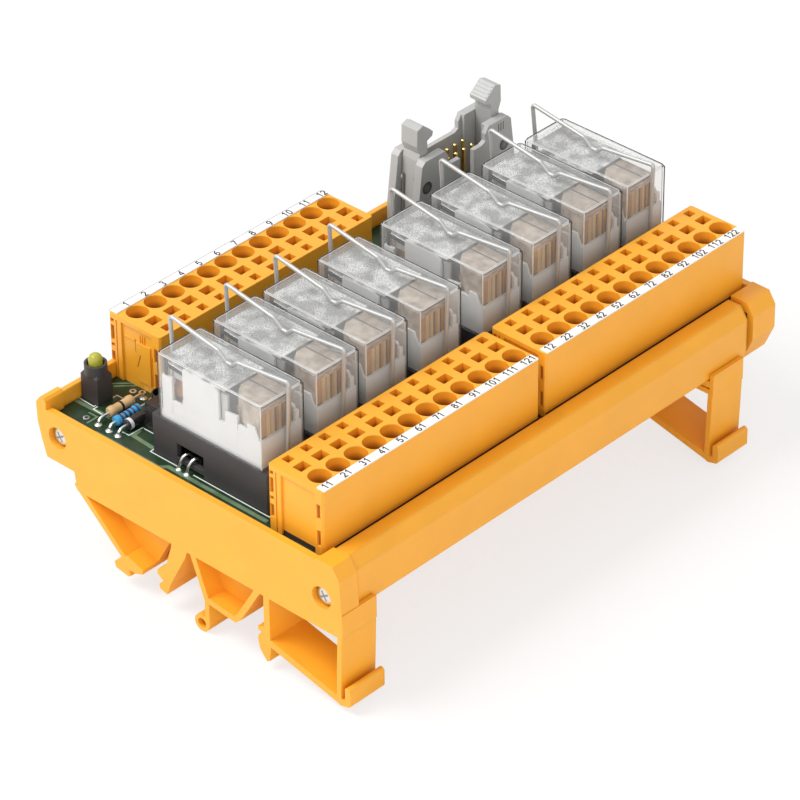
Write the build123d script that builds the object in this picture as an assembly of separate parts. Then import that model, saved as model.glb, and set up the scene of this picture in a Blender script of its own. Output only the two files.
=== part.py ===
from build123d import *
import os
from math import atan2, degrees, hypot

os.makedirs("parts", exist_ok=True)

# Frame: X runs across the module, with the output terminals at +X.
# Y runs along the carrier profile and the mounting rail. Z is up.
# The origin is at the middle of the overall width and length, level with the lowest point of the feet.
# Sizes below are measured across from the middle of the end plates.
# All sizes are in millimetres.

# Levels above the lowest point of the feet
foot_web_top = 18.0
profile_bottom = 21.5
board_bottom = 29.85
board_thickness = 1.6
board_top = board_bottom + board_thickness

# Carrier profile, an extruded channel that holds the circuit board in grooves
plate_half_width = 42.2
profile_half_width = plate_half_width - 0.6
profile_wall = 1.1
profile_floor = 1.6
profile_near_end = -61.0
profile_far_end = 57.6
left_wall_top = 35.2
right_wall_top = 33.8
left_lip_inner = plate_half_width - 2.4
right_lip_inner = plate_half_width - 6.2
ledge_reach = 3.6
ledge_thickness = 1.5
top_chamfer = (1.8, 2.8)
groove_clearance = 0.1

# End plates
plate_near_face = -66.0
plate_far_face = 66.0
plate_panel = 1.5
front_top = 33.65
left_post_top = 36.1
right_post_top = 34.0
front_post_inner = plate_half_width - 2.8
rear_post_inner = plate_half_width - 3.2
far_skirt_depth = 7.2
front_side_swell = 0.4
plate_shelf = 1.5
tongue_length = 2.6
tongue_wall = 1.2
tongue_clearance = 0.15

# Screws that hold the end plates in the two screw channels of the profile
left_screw = (5.8 - plate_half_width, 28.0)
right_screw = (plate_half_width - 4.9, 25.2)
screw_radius = 1.1
screw_length = 8.0
screw_head_radius = 2.25
screw_head_height = 1.3
screw_recess_radius = 2.5
screw_recess_depth = 2.75
screw_boss_wall = 0.9
screw_boss_depth = 4.9
board_notch_depth = 1.35
board_notch_width = 6.9
screw_clearance = 0.05
channel_wall = 0.7

# Feet that hook on the rail
foot_depth = 9.7
foot_rib = 1.4
foot_web = 1.7
foot_web_setback = 4.3
rear_foot_near = 45.6
toe_reach = plate_half_width + 2.45
toe_thickness = 1.5
tube_outer = 2.0
tube_bore = 1.1
foot_tab_height = 1.8
foot_tab_clearance = 0.15
foot_left = -31.2
foot_right = plate_half_width - 0.6
foot_bar_bottom = 18.6
foot_bar_clearance = 0.1
foot_post_places = (-31.0, -5.0, 1.4, 20.0, 22.1)
foot_post_width = 1.2

# Relays in their sockets
relay_length = 29.0
relay_width = 12.6
relay_height = 15.4
relay_left = -13.7
first_relay_near = -59.35
relay_pitches = (15.6, 14.1, 15.8, 18.5, 15.2, 15.8, 13.6)
cover_wall = 0.6
cover_radius = 1.2
socket_height = 9.3
socket_left_margin = 1.7
socket_right_margin = 1.7
socket_width = 12.9
socket_wall = 1.2
socket_deck = 4.6
socket_window = (-8.3, -0.9, 2.0, 5.3)
base_clearance = 0.1
base_thickness = 1.8
base_wall = 0.9
base_wall_height = 6.4
pin_size = (0.5, 1.0)
pin_length = 3.4
pin_clearance = 0.15
pin_columns = (2.6, 15.0, 20.0, 25.0)
pin_row_offset = 3.9

# Magnet system and contacts inside each relay
coil_radius = 4.0
coil_core_radius = 1.6
coil_flange = 0.8
coil_start = 2.6
coil_length = 12.2
coil_axis_height = 6.6
yoke_thickness = 1.1
yoke_width = 7.6
armature_gap = 0.75
armature_seat_gap = 0.05
armature_thickness = 0.9
armature_width = 7.2
armature_bottom_gap = 0.9
contact_blade = (0.4, 3.0, 8.2)
contact_columns = (19.6, 21.8, 24.0)
contact_row_offset = 3.0

# Wire clip that holds each relay in its socket
clip_wire = 0.9
clip_peak = 4.5
clip_leans = (1.0, 1.1, 1.1, 1.2, 1.3, 1.4, 1.9, 2.1)
clip_end_rise = 2.1
clip_end_shift = 0.8
clip_slope_break = (2.3, 1.8)
clip_leg_offset = 0.85
clip_leg_depth = 4.0
clip_hole_clearance = 0.1
clip_dip_share = 0.474
clip_dip_length = 1.5
clip_bump = (3.0, 1.25)
clip_bend_radius = 0.6

# Terminal blocks
pitch = 5.08
poles = 12
block_height = 15.3
block_depth = 0.351 * plate_half_width
block_near_wall = 1.32
block_far_wall = 0.18
output_block_outer = plate_half_width - 7.5
input_block_outer = 0.9 - plate_half_width
input_block_foot = 2.5 - plate_half_width
output_near_end = -62.36
block_gap = 1.94
input_near_end = -45.85
round_hole_offset = 4.5
slot_row_offset = 0.622 * block_depth
square_row_offset = 0.874 * block_depth
funnel_radius = 2.4
funnel_throat_radius = 1.85
funnel_depth = 5.5
wire_hole_depth = 9.0
slot_size = (2.4, 2.95)
slot_depth = 6.0
square_size = 1.95
square_depth = 5.0
clamp_pocket = (5.2, 3.6, 6.2)
clamp_clearance = 0.15
clamp_wall = 0.6
marker_height = 0.3
marker_width = 2.05
relief_depth = 0.45
relief_groove = (2.05, 2.35)
relief_panel = (3.5, 2.3)
relief_top = 14.2
relief_slot_width = 1.0
inner_reliefs = ((13.2, 14.1), (8.9, 12.5), (7.3, 8.1), (3.2, 6.2))
outer_reliefs = ((8.7, 12.0), (2.2, 5.9))

# Ribbon header with two latches
header_left = 3.9 - plate_half_width
header_width = 9.0
header_near = 33.4
header_length = 31.0
header_floor = 2.6
header_wall = 1.1
header_wall_top = 46.1
header_shoulder_top = 50.0
header_tower = 9.6
header_tower_wall = 0.9
header_taper = 1.5
header_pins_per_row = 5
header_pin_pitch = 2.54
header_pin_size = 0.64
header_pin_top = 45.2
key_width = 4.4
key_depth = 6.5
latch_width = 4.6
latch_slot_clearance = 0.2
latch_thickness = 2.6
latch_top = 57.3
latch_head_depth = 5.6
latch_pivot_height = 3.6
latch_pivot_radius = 0.9
latch_running_gap = 0.05
latch_inset = 3.5
detent_hole = (1.1, 12.0, 3.3)
latch_foot_length = 3.4

# Supply indicator
led_x = 5.1 - plate_half_width
led_y = -53.9
led_body = (4.8, 4.1, 7.3)
led_collar_radius = 2.4
led_collar_height = 1.5
led_collar_wall = 0.55
led_seat_depth = 0.6
led_radius = 1.5
led_flange = (1.75, 0.8)
led_top = 11.0
led_chamfer = 1.1

# Small parts on the board: distance from the lamp in X, centre in Y, body radius, body length
axial_parts = (
    (6.9, -54.0, 1.2, 6.6),
    (10.1, -55.6, 1.15, 6.8),
    (12.7, -56.0, 1.25, 5.4),
)
lead_radius = 0.33
lead_reach = 2.0
part_gap = 0.1
capacitor_place = (-26.7, -47.9)
capacitor_radius = 1.7
capacitor_height = 4.2
capacitor_wall = 0.5
window_lead_radius = 0.33
window_lead_places = (2.6, 5.2)


def box(x0, x1, y0, y1, z0, z1):
    centre = Pos((x0 + x1) / 2, (y0 + y1) / 2, (z0 + z1) / 2)
    return centre * Box(x1 - x0, y1 - y0, z1 - z0)


def rod_z(x, y, z0, z1, radius):
    return Pos(x, y, (z0 + z1) / 2) * Cylinder(radius, z1 - z0)


def rod_y(x, z, y0, y1, radius):
    return Pos(x, (y0 + y1) / 2, z) * Rot(90, 0, 0) * Cylinder(radius, y1 - y0)


def rod_x(y, z, x0, x1, radius):
    return Pos((x0 + x1) / 2, y, z) * Rot(0, 90, 0) * Cylinder(radius, x1 - x0)


def along_y(section, y0, y1):
    """Extrude a flat section, drawn with X and Z as its two axes, from y0 to y1."""
    return extrude(Plane.XZ.offset(-y0) * section, amount=y1 - y0, dir=(0, 1, 0))


def along_x(section, x0, x1):
    """Extrude a flat section, drawn with Y and Z as its two axes, from x0 to x1."""
    return extrude(Plane.YZ.offset(x0) * section, amount=x1 - x0, dir=(1, 0, 0))


def outline(*points):
    return Polygon(*points, align=None)


def rib(start, end, thickness=foot_rib):
    """A straight rib with round ends between two points of a section."""
    run = hypot(end[0] - start[0], end[1] - start[1])
    angle = degrees(atan2(end[1] - start[1], end[0] - start[0]))
    middle = ((start[0] + end[0]) / 2, (start[1] + end[1]) / 2)
    return Pos(*middle) * Rot(0, 0, angle) * SlotCenterToCenter(run, thickness)


def chain(points, thickness=foot_rib):
    """Ribs joined end to end through a list of points."""
    section = rib(points[0], points[1], thickness)
    for start, end in zip(points[1:], points[2:]):
        section += rib(start, end, thickness)
    return section


def save(node, *solids):
    """Write one solid, or a group of like solids, with the origin midway between the outer sides."""
    to_middle = -(toe_reach - plate_half_width) / 2
    moved = [Pos(to_middle, 0, 0) * solid for solid in solids]
    shape = moved[0] if len(moved) == 1 else Compound(children=moved)
    export_step(shape, f"parts/{node}.step")


# Carrier profile


def profile_section():
    half = profile_half_width
    inner = half - profile_wall
    run, drop = top_chamfer
    floor_top = profile_bottom + profile_floor
    ledge_bottom = board_bottom - ledge_thickness
    groove_top = board_top + groove_clearance
    ledge = inner - ledge_reach
    return outline(
        (-half + 0.6, profile_bottom),
        (half - 0.6, profile_bottom),
        (half, profile_bottom + 0.6),
        (half, right_wall_top - drop),
        (half - run, right_wall_top),
        (right_lip_inner + 0.4, right_wall_top),
        (right_lip_inner, right_wall_top - 0.4),
        (right_lip_inner, groove_top),
        (inner, groove_top),
        (inner, board_bottom),
        (ledge, board_bottom),
        (ledge, ledge_bottom),
        (inner, ledge_bottom),
        (inner, floor_top),
        (-inner, floor_top),
        (-inner, ledge_bottom),
        (-ledge, ledge_bottom),
        (-ledge, board_bottom),
        (-inner, board_bottom),
        (-inner, groove_top),
        (-left_lip_inner, groove_top),
        (-left_lip_inner, left_wall_top),
        (-half + 0.5, left_wall_top),
        (-half, left_wall_top - 0.5),
        (-half, profile_bottom + 0.6),
    )


def screw_channel(centre):
    """A screw channel in the profile: a thick tube that the wall carries."""
    radius = screw_radius + channel_wall
    return Pos(*centre) * Circle(radius)


def build_profile():
    section = profile_section()
    inner = profile_half_width - profile_wall
    section += screw_channel(left_screw)
    section += screw_channel(right_screw)
    reach = screw_radius + channel_wall
    section += Pos((right_screw[0] + inner) / 2, right_screw[1]) * Rectangle(
        inner - right_screw[0] + 0.2, 1.4
    )
    section += Pos(right_screw[0], (profile_bottom + right_screw[1]) / 2) * Rectangle(
        1.4, right_screw[1] - profile_bottom
    )
    section += Pos((left_screw[0] - inner) / 2, left_screw[1]) * Rectangle(
        inner + left_screw[0] + 0.2, 2 * reach - 1.2
    )
    for centre in (left_screw, right_screw):
        section -= Pos(*centre) * Circle(screw_radius + screw_clearance)
    return along_y(section, profile_near_end, profile_far_end)


# End plates and feet


def plate_outline(right_side, post_inner):
    """Front view of an end plate above the foot."""
    half = plate_half_width
    run, drop = top_chamfer
    upper = [
        (-half, left_post_top - 1.6),
        (-half + 1.2, left_post_top),
        (-post_inner - 0.5, left_post_top),
        (-post_inner, left_post_top - 0.6),
        (-post_inner, front_top),
        (right_lip_inner - 0.6, front_top),
        (right_lip_inner, right_post_top),
        (half - run, right_post_top),
        (half, right_post_top - drop),
    ]
    lower_left = [
        (-plate_half_width + 2.4, profile_bottom + 0.5),
        (-plate_half_width + 1.2, 25.8),
        (-plate_half_width + 0.2, 29.8),
    ]
    return outline(*upper, *right_side, *lower_left)


def plate_pocket(post_inner):
    """The hollow of an end plate that takes the board's end, open at the top."""
    inner = profile_half_width - profile_wall
    top = left_post_top + 1
    floor = profile_bottom + profile_floor
    section = outline(
        (-inner, floor),
        (inner, floor),
        (inner, board_top + groove_clearance),
        (right_lip_inner, board_top + groove_clearance),
        (right_lip_inner, top),
        (-post_inner, top),
        (-post_inner, board_top + groove_clearance),
        (-inner, board_top + groove_clearance),
    )
    return section


def tongue_section(clearance):
    """An upright U that lies in the channel of the profile, with a gap around its outside."""
    outer = profile_half_width - profile_wall
    floor = profile_bottom + profile_floor
    top = board_bottom - ledge_thickness - 0.3
    inner = outer - tongue_clearance - tongue_wall
    inner_floor = floor + tongue_clearance + tongue_wall
    outer -= clearance
    floor += clearance
    section = outline(
        (-outer, floor),
        (outer, floor),
        (outer, top),
        (inner, top),
        (inner, inner_floor),
        (-inner, inner_floor),
        (-inner, top),
        (-outer, top),
    )
    room = screw_radius + channel_wall + 0.4
    for centre in (left_screw, right_screw):
        section -= Pos(*centre) * Circle(room)
    section -= Pos(right_screw[0], right_screw[1] - 2.0) * Rectangle(2 * room, 4.0)
    section -= Pos(right_screw[0] + 2.0, right_screw[1] + 2.0) * Rectangle(4.0, 2 * room + 4.0)
    section -= Pos(left_screw[0] - 2.4, left_screw[1] + 1.0) * Rectangle(4.8, 2 * room + 2.0)
    return section


def plate_tongue(tongue, root):
    """A lip that plugs into the channel of the profile, and its root in the plate's own walls."""
    return along_y(tongue_section(tongue_clearance), *tongue) + along_y(tongue_section(-0.2), *root)


def left_hook_section():
    """The left part of the foot: a diagonal rib that ends in a toe for the rail."""
    toe = outline(
        (-21.2, 5.0),
        (-20.9, 3.6),
        (-17.3, 2.95),
        (-16.6, 3.4),
        (-17.0, 4.7),
        (-15.0, 4.8),
        (-13.1, 5.5),
        (-12.9, 6.6),
        (-17.4, 8.2),
    )
    diagonal = rib((foot_left, foot_web_top + 0.9), (-18.1, 7.0))
    return toe + diagonal


def left_web_section():
    return outline(
        (foot_left, foot_web_top + 2),
        (foot_left, foot_web_top + 0.9),
        (-18.1, 7.0),
        (-13.1, 6.2),
        (-6.4, foot_web_top),
        (-6.4, foot_web_top + 2),
    )


def wedge_section():
    """The middle leg with two teeth that face the left toe."""
    return outline(
        (-4.3, foot_web_top + 1),
        (-4.3, 17.0),
        (-6.1, 11.2),
        (-8.7, 9.1),
        (-8.7, 8.2),
        (-7.1, 6.9),
        (-8.4, 5.6),
        (-8.0, 4.6),
        (-6.1, 4.05),
        (-4.9, 7.3),
        (-0.5, 15.8),
        (0.6, foot_web_top + 1),
    )


def middle_leg_section():
    """The second leg, its floor rib and the tube at its lower end."""
    legs = chain(
        [
            (1.4, foot_web_top + 0.6),
            (5.3, 8.4),
            (13.0, 7.6),
            (14.2, 8.6),
            (20.0, foot_web_top + 0.4),
        ]
    )
    drop = rib((5.3, 8.4), (5.3, 2.4), 1.2)
    tube = Pos(3.7, tube_outer) * Circle(tube_outer)
    tube -= Pos(3.7, tube_outer) * Circle(tube_bore)
    foot = legs + drop + tube
    return foot - Pos(3.7, tube_outer) * Circle(tube_bore)


def middle_web_section():
    return outline(
        (1.4, foot_web_top + 2),
        (1.4, foot_web_top + 0.6),
        (5.3, 8.4),
        (13.0, 7.6),
        (14.2, 8.6),
        (20.0, foot_web_top + 0.4),
        (20.0, foot_web_top + 2),
    )


def spring_leg_section():
    """The right leg: an open frame with teeth for the rail and a toe for a screwdriver."""
    right = foot_right
    left_post = chain([(22.1, foot_web_top + 0.6), (22.1, 6.6)], 1.6)
    teeth = outline(
        (22.1, 10.4),
        (19.5, 9.3),
        (19.7, 8.6),
        (20.9, 8.2),
        (19.7, 7.3),
        (19.5, 6.2),
        (20.1, 3.9),
        (21.9, 1.7),
        (22.7, 2.2),
        (23.1, 6.0),
    )
    bar = chain([(22.4, 6.7), (right + 0.7, 2.2)], 1.6)
    right_post = chain([(right + 0.4, foot_web_top + 0.6), (right - 0.1, 2.6)], 1.2)
    toe_x = toe_reach - toe_thickness / 2
    toe = chain([(right + 0.3, 2.1), (toe_x, 2.6), (toe_x, 5.7)], toe_thickness)
    return left_post + teeth + bar + right_post + toe


def build_foot(y0):
    """Ribs as deep as the foot, and webs that lie back from their front edges."""
    y1 = y0 + foot_depth
    ribs = left_hook_section() + wedge_section() + middle_leg_section() + spring_leg_section()
    web = left_web_section() + middle_web_section()
    web_front = y0 + foot_web_setback
    foot = along_y(ribs, y0, y1)
    foot += along_y(web, web_front, web_front + foot_web)
    tab_inner = profile_half_width + foot_tab_clearance
    tab_top = profile_bottom + foot_tab_height
    foot += box(tab_inner, tab_inner + 1.0, y0, y1, foot_web_top, tab_top)
    return foot


def screw_recesses(face, inward):
    """Round recesses and clearance holes for the two screws of a plate."""
    cuts = []
    for x, z in (left_screw, right_screw):
        deep = face + inward * screw_recess_depth
        far = face + inward * 12
        cuts.append(rod_y(x, z, *sorted((face - inward, deep)), screw_recess_radius))
        cuts.append(rod_y(x, z, *sorted((face, far)), screw_radius + screw_clearance))
    return cuts


def screw_bosses(face, inward):
    """Thick rounds behind the panel that carry the screws' recesses. They stop under the board."""
    radius = screw_recess_radius + screw_boss_wall
    panel_back = face + inward * (plate_panel - 0.2)
    seat = face + inward * screw_recess_depth
    end = face + inward * screw_boss_depth
    bosses = []
    for x, z in (left_screw, right_screw):
        front = rod_y(x, z, *sorted((panel_back, seat)), radius)
        back = rod_y(x, z, *sorted((seat - inward * 0.1, end)), radius)
        low_y, high_y = sorted((seat, end + inward))
        back -= box(x - radius - 1, x + radius + 1, low_y, high_y, board_bottom - 0.1, board_top + 5)
        bosses.append(front + back)
    return bosses


def build_front_plate():
    side = plate_half_width + front_side_swell
    panel_bottom = foot_web_top - 0.4
    right_side = [
        (side, 23.0),
        (side, panel_bottom),
        (foot_left, panel_bottom),
        (foot_left - 0.7, profile_bottom + 0.5),
    ]
    panel_back = plate_near_face + plate_panel
    underside = profile_bottom - plate_shelf
    plate = along_y(plate_outline(right_side, front_post_inner), plate_near_face, profile_near_end)
    plate -= along_y(plate_pocket(front_post_inner), panel_back, profile_near_end + 1)
    plate -= box(-side - 1, side + 1, panel_back, profile_near_end + 1, 0, underside)
    plate += build_foot(plate_near_face)
    foot_back = plate_near_face + foot_depth
    bar_top = profile_bottom - foot_bar_clearance
    plate += box(foot_left, foot_right, panel_back, foot_back, foot_bar_bottom, bar_top)
    tongue = (profile_near_end - 0.5, profile_near_end + tongue_length)
    plate += plate_tongue(tongue, (profile_near_end - 1.5, profile_near_end))
    for boss in screw_bosses(plate_near_face, 1):
        plate += boss
    for cut in screw_recesses(plate_near_face, 1):
        plate -= cut
    return plate


def build_rear_plate():
    skirt_start = plate_far_face - far_skirt_depth
    right_side = [
        (plate_half_width, 25.5),
        (plate_half_width - 2.4, profile_bottom - plate_shelf),
        (-plate_half_width + 4.2, profile_bottom - plate_shelf),
    ]
    plate = along_y(plate_outline(right_side, rear_post_inner), skirt_start, plate_far_face)
    plate -= along_y(plate_pocket(rear_post_inner), skirt_start - 1, plate_far_face - plate_panel)
    tongue = (profile_far_end - tongue_length, skirt_start + 0.5)
    plate += plate_tongue(tongue, (skirt_start, skirt_start + 1.5))
    for boss in screw_bosses(plate_far_face, -1):
        plate += boss
    for cut in screw_recesses(plate_far_face, -1):
        plate -= cut
    return plate


def build_rear_foot():
    """The second foot: the same ribs under a bar that lies against the profile."""
    y0, y1 = rear_foot_near, rear_foot_near + foot_depth
    foot = build_foot(y0)
    upper = profile_bottom - 0.8
    lower = foot_web_top + 0.9
    foot += along_y(rib((foot_left, upper), (foot_right - 0.4, upper), 1.6), y0, y1)
    foot += along_y(rib((foot_left, lower), (foot_right + 0.2, lower), 1.2), y0, y1)
    web_front = y0 + foot_web_setback
    foot += box(foot_left, foot_right, web_front, web_front + foot_web, foot_web_top, upper)
    half = foot_post_width / 2
    for x in foot_post_places:
        foot += box(x - half, x + half, y0, y1, lower, upper)
    return foot


def build_screws():
    screws = []
    for face, inward in ((plate_near_face, 1), (plate_far_face, -1)):
        for x, z in (left_screw, right_screw):
            seat = face + inward * screw_recess_depth
            head = rod_y(x, z, *sorted((seat, seat - inward * screw_head_height)), screw_head_radius)
            shank_end = seat + inward * screw_length
            shank = rod_y(x, z, *sorted((seat, shank_end)), screw_radius)
            screws.append(head + shank)
    return screws


# Circuit board


def build_board():
    edge = profile_half_width - profile_wall - groove_clearance
    near = plate_near_face + plate_panel
    far = plate_far_face - plate_panel
    board = box(-edge, edge, near, far, board_bottom, board_top)
    notch = -edge + board_notch_width
    for y in (near, far):
        y0, y1 = y - board_notch_depth, y + board_notch_depth
        board -= box(-edge - 1, notch, y0, y1, board_bottom - 1, board_top + 1)
    return board


# Terminal blocks


def pole_places(near_end):
    first = near_end + block_near_wall + pitch / 2
    return [first + i * pitch for i in range(poles)]


def block_length():
    return poles * pitch + block_near_wall + block_far_wall


def end_reliefs(outer, near_end, inward):
    """Shallow slots, a groove and a panel in the two end faces. The far face is the near one turned."""
    cuts = []
    inner = outer + inward * block_depth
    far_end = near_end + block_length()
    slot = relief_slot_width / 2
    for y0, y1, turned in (
        (near_end - 1, near_end + relief_depth, inward > 0),
        (far_end - relief_depth, far_end + 1, inward < 0),
    ):
        start, step = (outer, inward) if turned else (inner, -inward)
        end = inner if turned else outer
        for levels, x in ((inner_reliefs, start + step), (outer_reliefs, end - step * 1.3)):
            for z0, z1 in levels:
                cuts.append(box(x - slot, x + slot, y0, y1, board_top + z0, board_top + z1))
        x0, x1 = sorted(start + step * r for r in relief_groove)
        cuts.append(box(x0, x1, y0, y1, board_top - 1, board_top + relief_top))
        x0, x1 = sorted((start + step * relief_panel[0], end - step * relief_panel[1]))
        cuts.append(box(x0, x1, y0, y1, board_top - 1, board_top + relief_top))
    return cuts


def build_terminal_housing(outer, near_end, inward, foot_outer):
    """A block of twelve poles. inward is the X direction from the outer face to the relays."""
    top = board_top + block_height
    inner = outer + inward * block_depth
    far_end = near_end + block_length()
    low, high = sorted((outer, inner))
    block = box(low, high, near_end, far_end, board_top, top)
    block = chamfer(block.edges().filter_by(Axis.Z), 0.4)
    if foot_outer != outer:
        step = sorted((outer - inward, foot_outer))
        block -= box(*step, near_end - 1, far_end + 1, board_top - 1, left_wall_top + 0.3)
    x_round = outer + inward * round_hole_offset
    x_slot = outer + inward * slot_row_offset
    x_square = outer + inward * square_row_offset
    for y in pole_places(near_end):
        funnel = Pos(x_round, y, top - funnel_depth / 2) * Cone(
            funnel_throat_radius, funnel_radius, funnel_depth
        )
        block -= funnel
        block -= rod_z(x_round, y, top - wire_hole_depth, top - funnel_depth + 0.1, funnel_throat_radius)
        sx, sy = slot_size
        block -= box(x_slot - sx / 2, x_slot + sx / 2, y - sy / 2, y + sy / 2, top - slot_depth, top + 1)
        s = square_size / 2
        block -= box(x_square - s, x_square + s, y - s, y + s, top - square_depth, top + 1)
        px, py, pz = clamp_pocket
        pocket = box(-px / 2, px / 2, -py / 2, py / 2, board_top - 1, board_top + pz)
        block -= Pos(x_round, y, 0) * pocket
        block -= rod_z(x_round, y, board_top + pz - 0.1, top - wire_hole_depth + 0.1, funnel_throat_radius)
    for cut in end_reliefs(outer, near_end, inward):
        block -= cut
    return block


def build_clamps(blocks):
    """Wire clamps: a metal cage under each wire hole, standing on the board."""
    clamps = []
    px, py, pz = clamp_pocket
    half_x = px / 2 - clamp_clearance
    half_y = py / 2 - clamp_clearance
    height = pz - clamp_clearance
    for outer, near_end, inward in blocks:
        x = outer + inward * round_hole_offset
        for y in pole_places(near_end):
            cage = box(x - half_x, x + half_x, y - half_y, y + half_y, board_top, board_top + height)
            hollow = box(
                x - half_x + clamp_wall,
                x + half_x - clamp_wall,
                y - half_y - 1,
                y + half_y + 1,
                board_top + clamp_wall,
                board_top + height - clamp_wall,
            )
            mouth = rod_z(x, y, board_top + height - 2, board_top + height + 1, half_y - 0.2)
            clamps.append(cage - hollow - mouth)
    return clamps


def build_markers(strips):
    """Marker strips laid along the outer top edge of each block."""
    top = board_top + block_height
    solids = []
    for outer, near_end, inward in strips:
        x0, x1 = sorted((outer, outer + inward * marker_width))
        far_end = near_end + block_length()
        solids.append(box(x0, x1, near_end + 0.4, far_end - 0.4, top, top + marker_height))
    return solids


# Ribbon header


def header_pin_rows():
    middle_x = header_left + header_width / 2
    middle_y = header_near + header_length / 2
    span = (header_pins_per_row - 1) * header_pin_pitch
    for side in (-1, 1):
        for i in range(header_pins_per_row):
            yield middle_x + side * header_pin_pitch / 2, middle_y - span / 2 + i * header_pin_pitch


def latch_pivot(side):
    """Y and Z of a latch's pivot. side is -1 at the near end and +1 at the far end."""
    middle_y = header_near + header_length / 2
    y = middle_y + side * (header_length / 2 - latch_inset)
    return y, board_top + latch_pivot_height


def build_header_shell():
    x0, x1 = header_left, header_left + header_width
    y0, y1 = header_near, header_near + header_length
    side_view = outline(
        (y0, board_top),
        (y1, board_top),
        (y1, board_top + 6.0),
        (y1 - header_taper, header_shoulder_top - 1.0),
        (y1 - header_taper - 1.0, header_shoulder_top),
        (y1 - header_tower + 1.0, header_shoulder_top),
        (y1 - header_tower, header_shoulder_top - 1.6),
        (y1 - header_tower, header_wall_top + 0.6),
        (y1 - header_tower - 1.2, header_wall_top),
        (y0 + header_tower + 1.2, header_wall_top),
        (y0 + header_tower, header_wall_top + 0.6),
        (y0 + header_tower, header_shoulder_top - 1.6),
        (y0 + header_tower - 1.0, header_shoulder_top),
        (y0 + header_taper + 1.0, header_shoulder_top),
        (y0 + header_taper, header_shoulder_top - 1.0),
        (y0, board_top + 6.0),
    )
    shell = along_x(side_view, x0, x1)
    floor = board_top + header_floor
    top = header_shoulder_top + 1
    inner_y0 = y0 + header_tower - header_tower_wall
    inner_y1 = y1 - header_tower + header_tower_wall
    shell -= box(x0 + header_wall, x1 - header_wall, inner_y0, inner_y1, floor, top)
    middle_x = (x0 + x1) / 2
    slot = latch_width / 2 + latch_slot_clearance
    for side in (-1, 1):
        pivot_y, pivot_z = latch_pivot(side)
        inner_y = pivot_y - side * (latch_thickness + 2.6)
        outer_y = (y0 - 1) if side < 0 else (y1 + 1)
        slot_y0, slot_y1 = sorted((inner_y, outer_y))
        shell -= box(middle_x - slot, middle_x + slot, slot_y0, slot_y1, board_top + 1.0, top)
        shell -= rod_x(pivot_y, pivot_z, x0 - 1, x1 + 1, latch_pivot_radius + latch_running_gap)
    middle_y = (y0 + y1) / 2
    hole_radius, hole_height, hole_inset = detent_hole
    for y in (y0 + hole_inset, y1 - hole_inset):
        shell -= rod_x(y, board_top + hole_height, x0 - 1, x1 + 1, hole_radius)
    shell -= box(
        x1 - header_wall - 0.5,
        x1 + 1,
        middle_y - key_width / 2,
        middle_y + key_width / 2,
        header_wall_top - key_depth,
        top,
    )
    for x, y in header_pin_rows():
        s = header_pin_size / 2
        shell -= box(x - s, x + s, y - s, y + s, board_top - 1, floor + 1)
    return shell


def build_header_pins():
    pins = []
    s = header_pin_size / 2
    for x, y in header_pin_rows():
        pin = box(x - s, x + s, y - s, y + s, board_top, header_pin_top)
        pin = chamfer(pin.faces().sort_by(Axis.Z)[-1].edges(), 0.18)
        pins.append(pin)
    return pins


def build_latch(side):
    """A lever that swings outward about its pivot and ends in a ribbed head with a nose."""
    pivot_y, pivot_z = latch_pivot(side)
    t = latch_thickness
    inward = -side

    def at(depth, height):
        return (pivot_y + inward * depth, height)

    view = outline(
        at(-t / 2, pivot_z - 1.3),
        at(t / 2 + latch_foot_length * 0.4, pivot_z - 1.3),
        at(t / 2 + latch_foot_length * 0.4, pivot_z + 0.2),
        at(t / 2 + 0.1, pivot_z + 1.6),
        at(t / 2 + 0.4, header_wall_top + 1.0),
        at(t / 2 + 0.7, latch_top - 6.2),
        at(t / 2 + 0.6, latch_top - 4.2),
        at(t / 2 + 2.2, latch_top - 3.6),
        at(t / 2 + 2.4, latch_top - 2.6),
        at(0.6, latch_top),
        at(-t / 2 + 0.2, latch_top - 0.6),
        at(-t / 2 + 0.1, latch_top - 4.6),
        at(-t / 2 + 0.9, latch_top - 6.6),
        at(-t / 2 + 0.4, header_shoulder_top - 1.0),
        at(-t / 2, pivot_z + 3.0),
    )
    middle_x = header_left + header_width / 2
    lever = along_x(view, middle_x - latch_width / 2, middle_x + latch_width / 2)
    lever += rod_x(pivot_y, pivot_z, header_left + 0.2, header_left + header_width - 0.2, latch_pivot_radius)
    return lever


# Supply indicator


def build_led_holder():
    lx, ly, lz = led_body
    body = Pos(led_x, led_y, 0) * box(-lx / 2, lx / 2, -ly / 2, ly / 2, board_top, board_top + lz)
    body = chamfer(body.faces().sort_by(Axis.Z)[-1].edges(), led_chamfer, 0.8)
    rim = board_top + lz + led_collar_height
    holder = body + rod_z(led_x, led_y, board_top + lz - 1.0, rim, led_collar_radius)
    cup_bottom = board_top + lz - led_seat_depth
    return holder - rod_z(led_x, led_y, cup_bottom, rim + 1, led_collar_radius - led_collar_wall)


def build_led():
    seat = board_top + led_body[2] - led_seat_depth
    top = board_top + led_top
    flange = rod_z(led_x, led_y, seat, seat + led_flange[1], led_flange[0])
    barrel = rod_z(led_x, led_y, seat, top - led_radius, led_radius)
    dome = Pos(led_x, led_y, top - led_radius) * Sphere(led_radius)
    return flange + barrel + dome


# Small parts on the board


def bent_lead(points, radius):
    """A round wire through straight stretches with ball joints at the bends."""
    wire = None
    for start, end in zip(points, points[1:]):
        path = Line(start, end)
        piece = sweep(Plane(origin=start, z_dir=path % 0) * Circle(radius), path=path)
        wire = piece if wire is None else wire + piece
    for point in points[1:-1]:
        wire += Pos(*point) * Sphere(radius)
    return wire


def above_board(shape):
    """Trim a part so that its leads end flat on the board."""
    return shape - box(-50, 50, -70, 70, board_top - 5, board_top)


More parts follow.
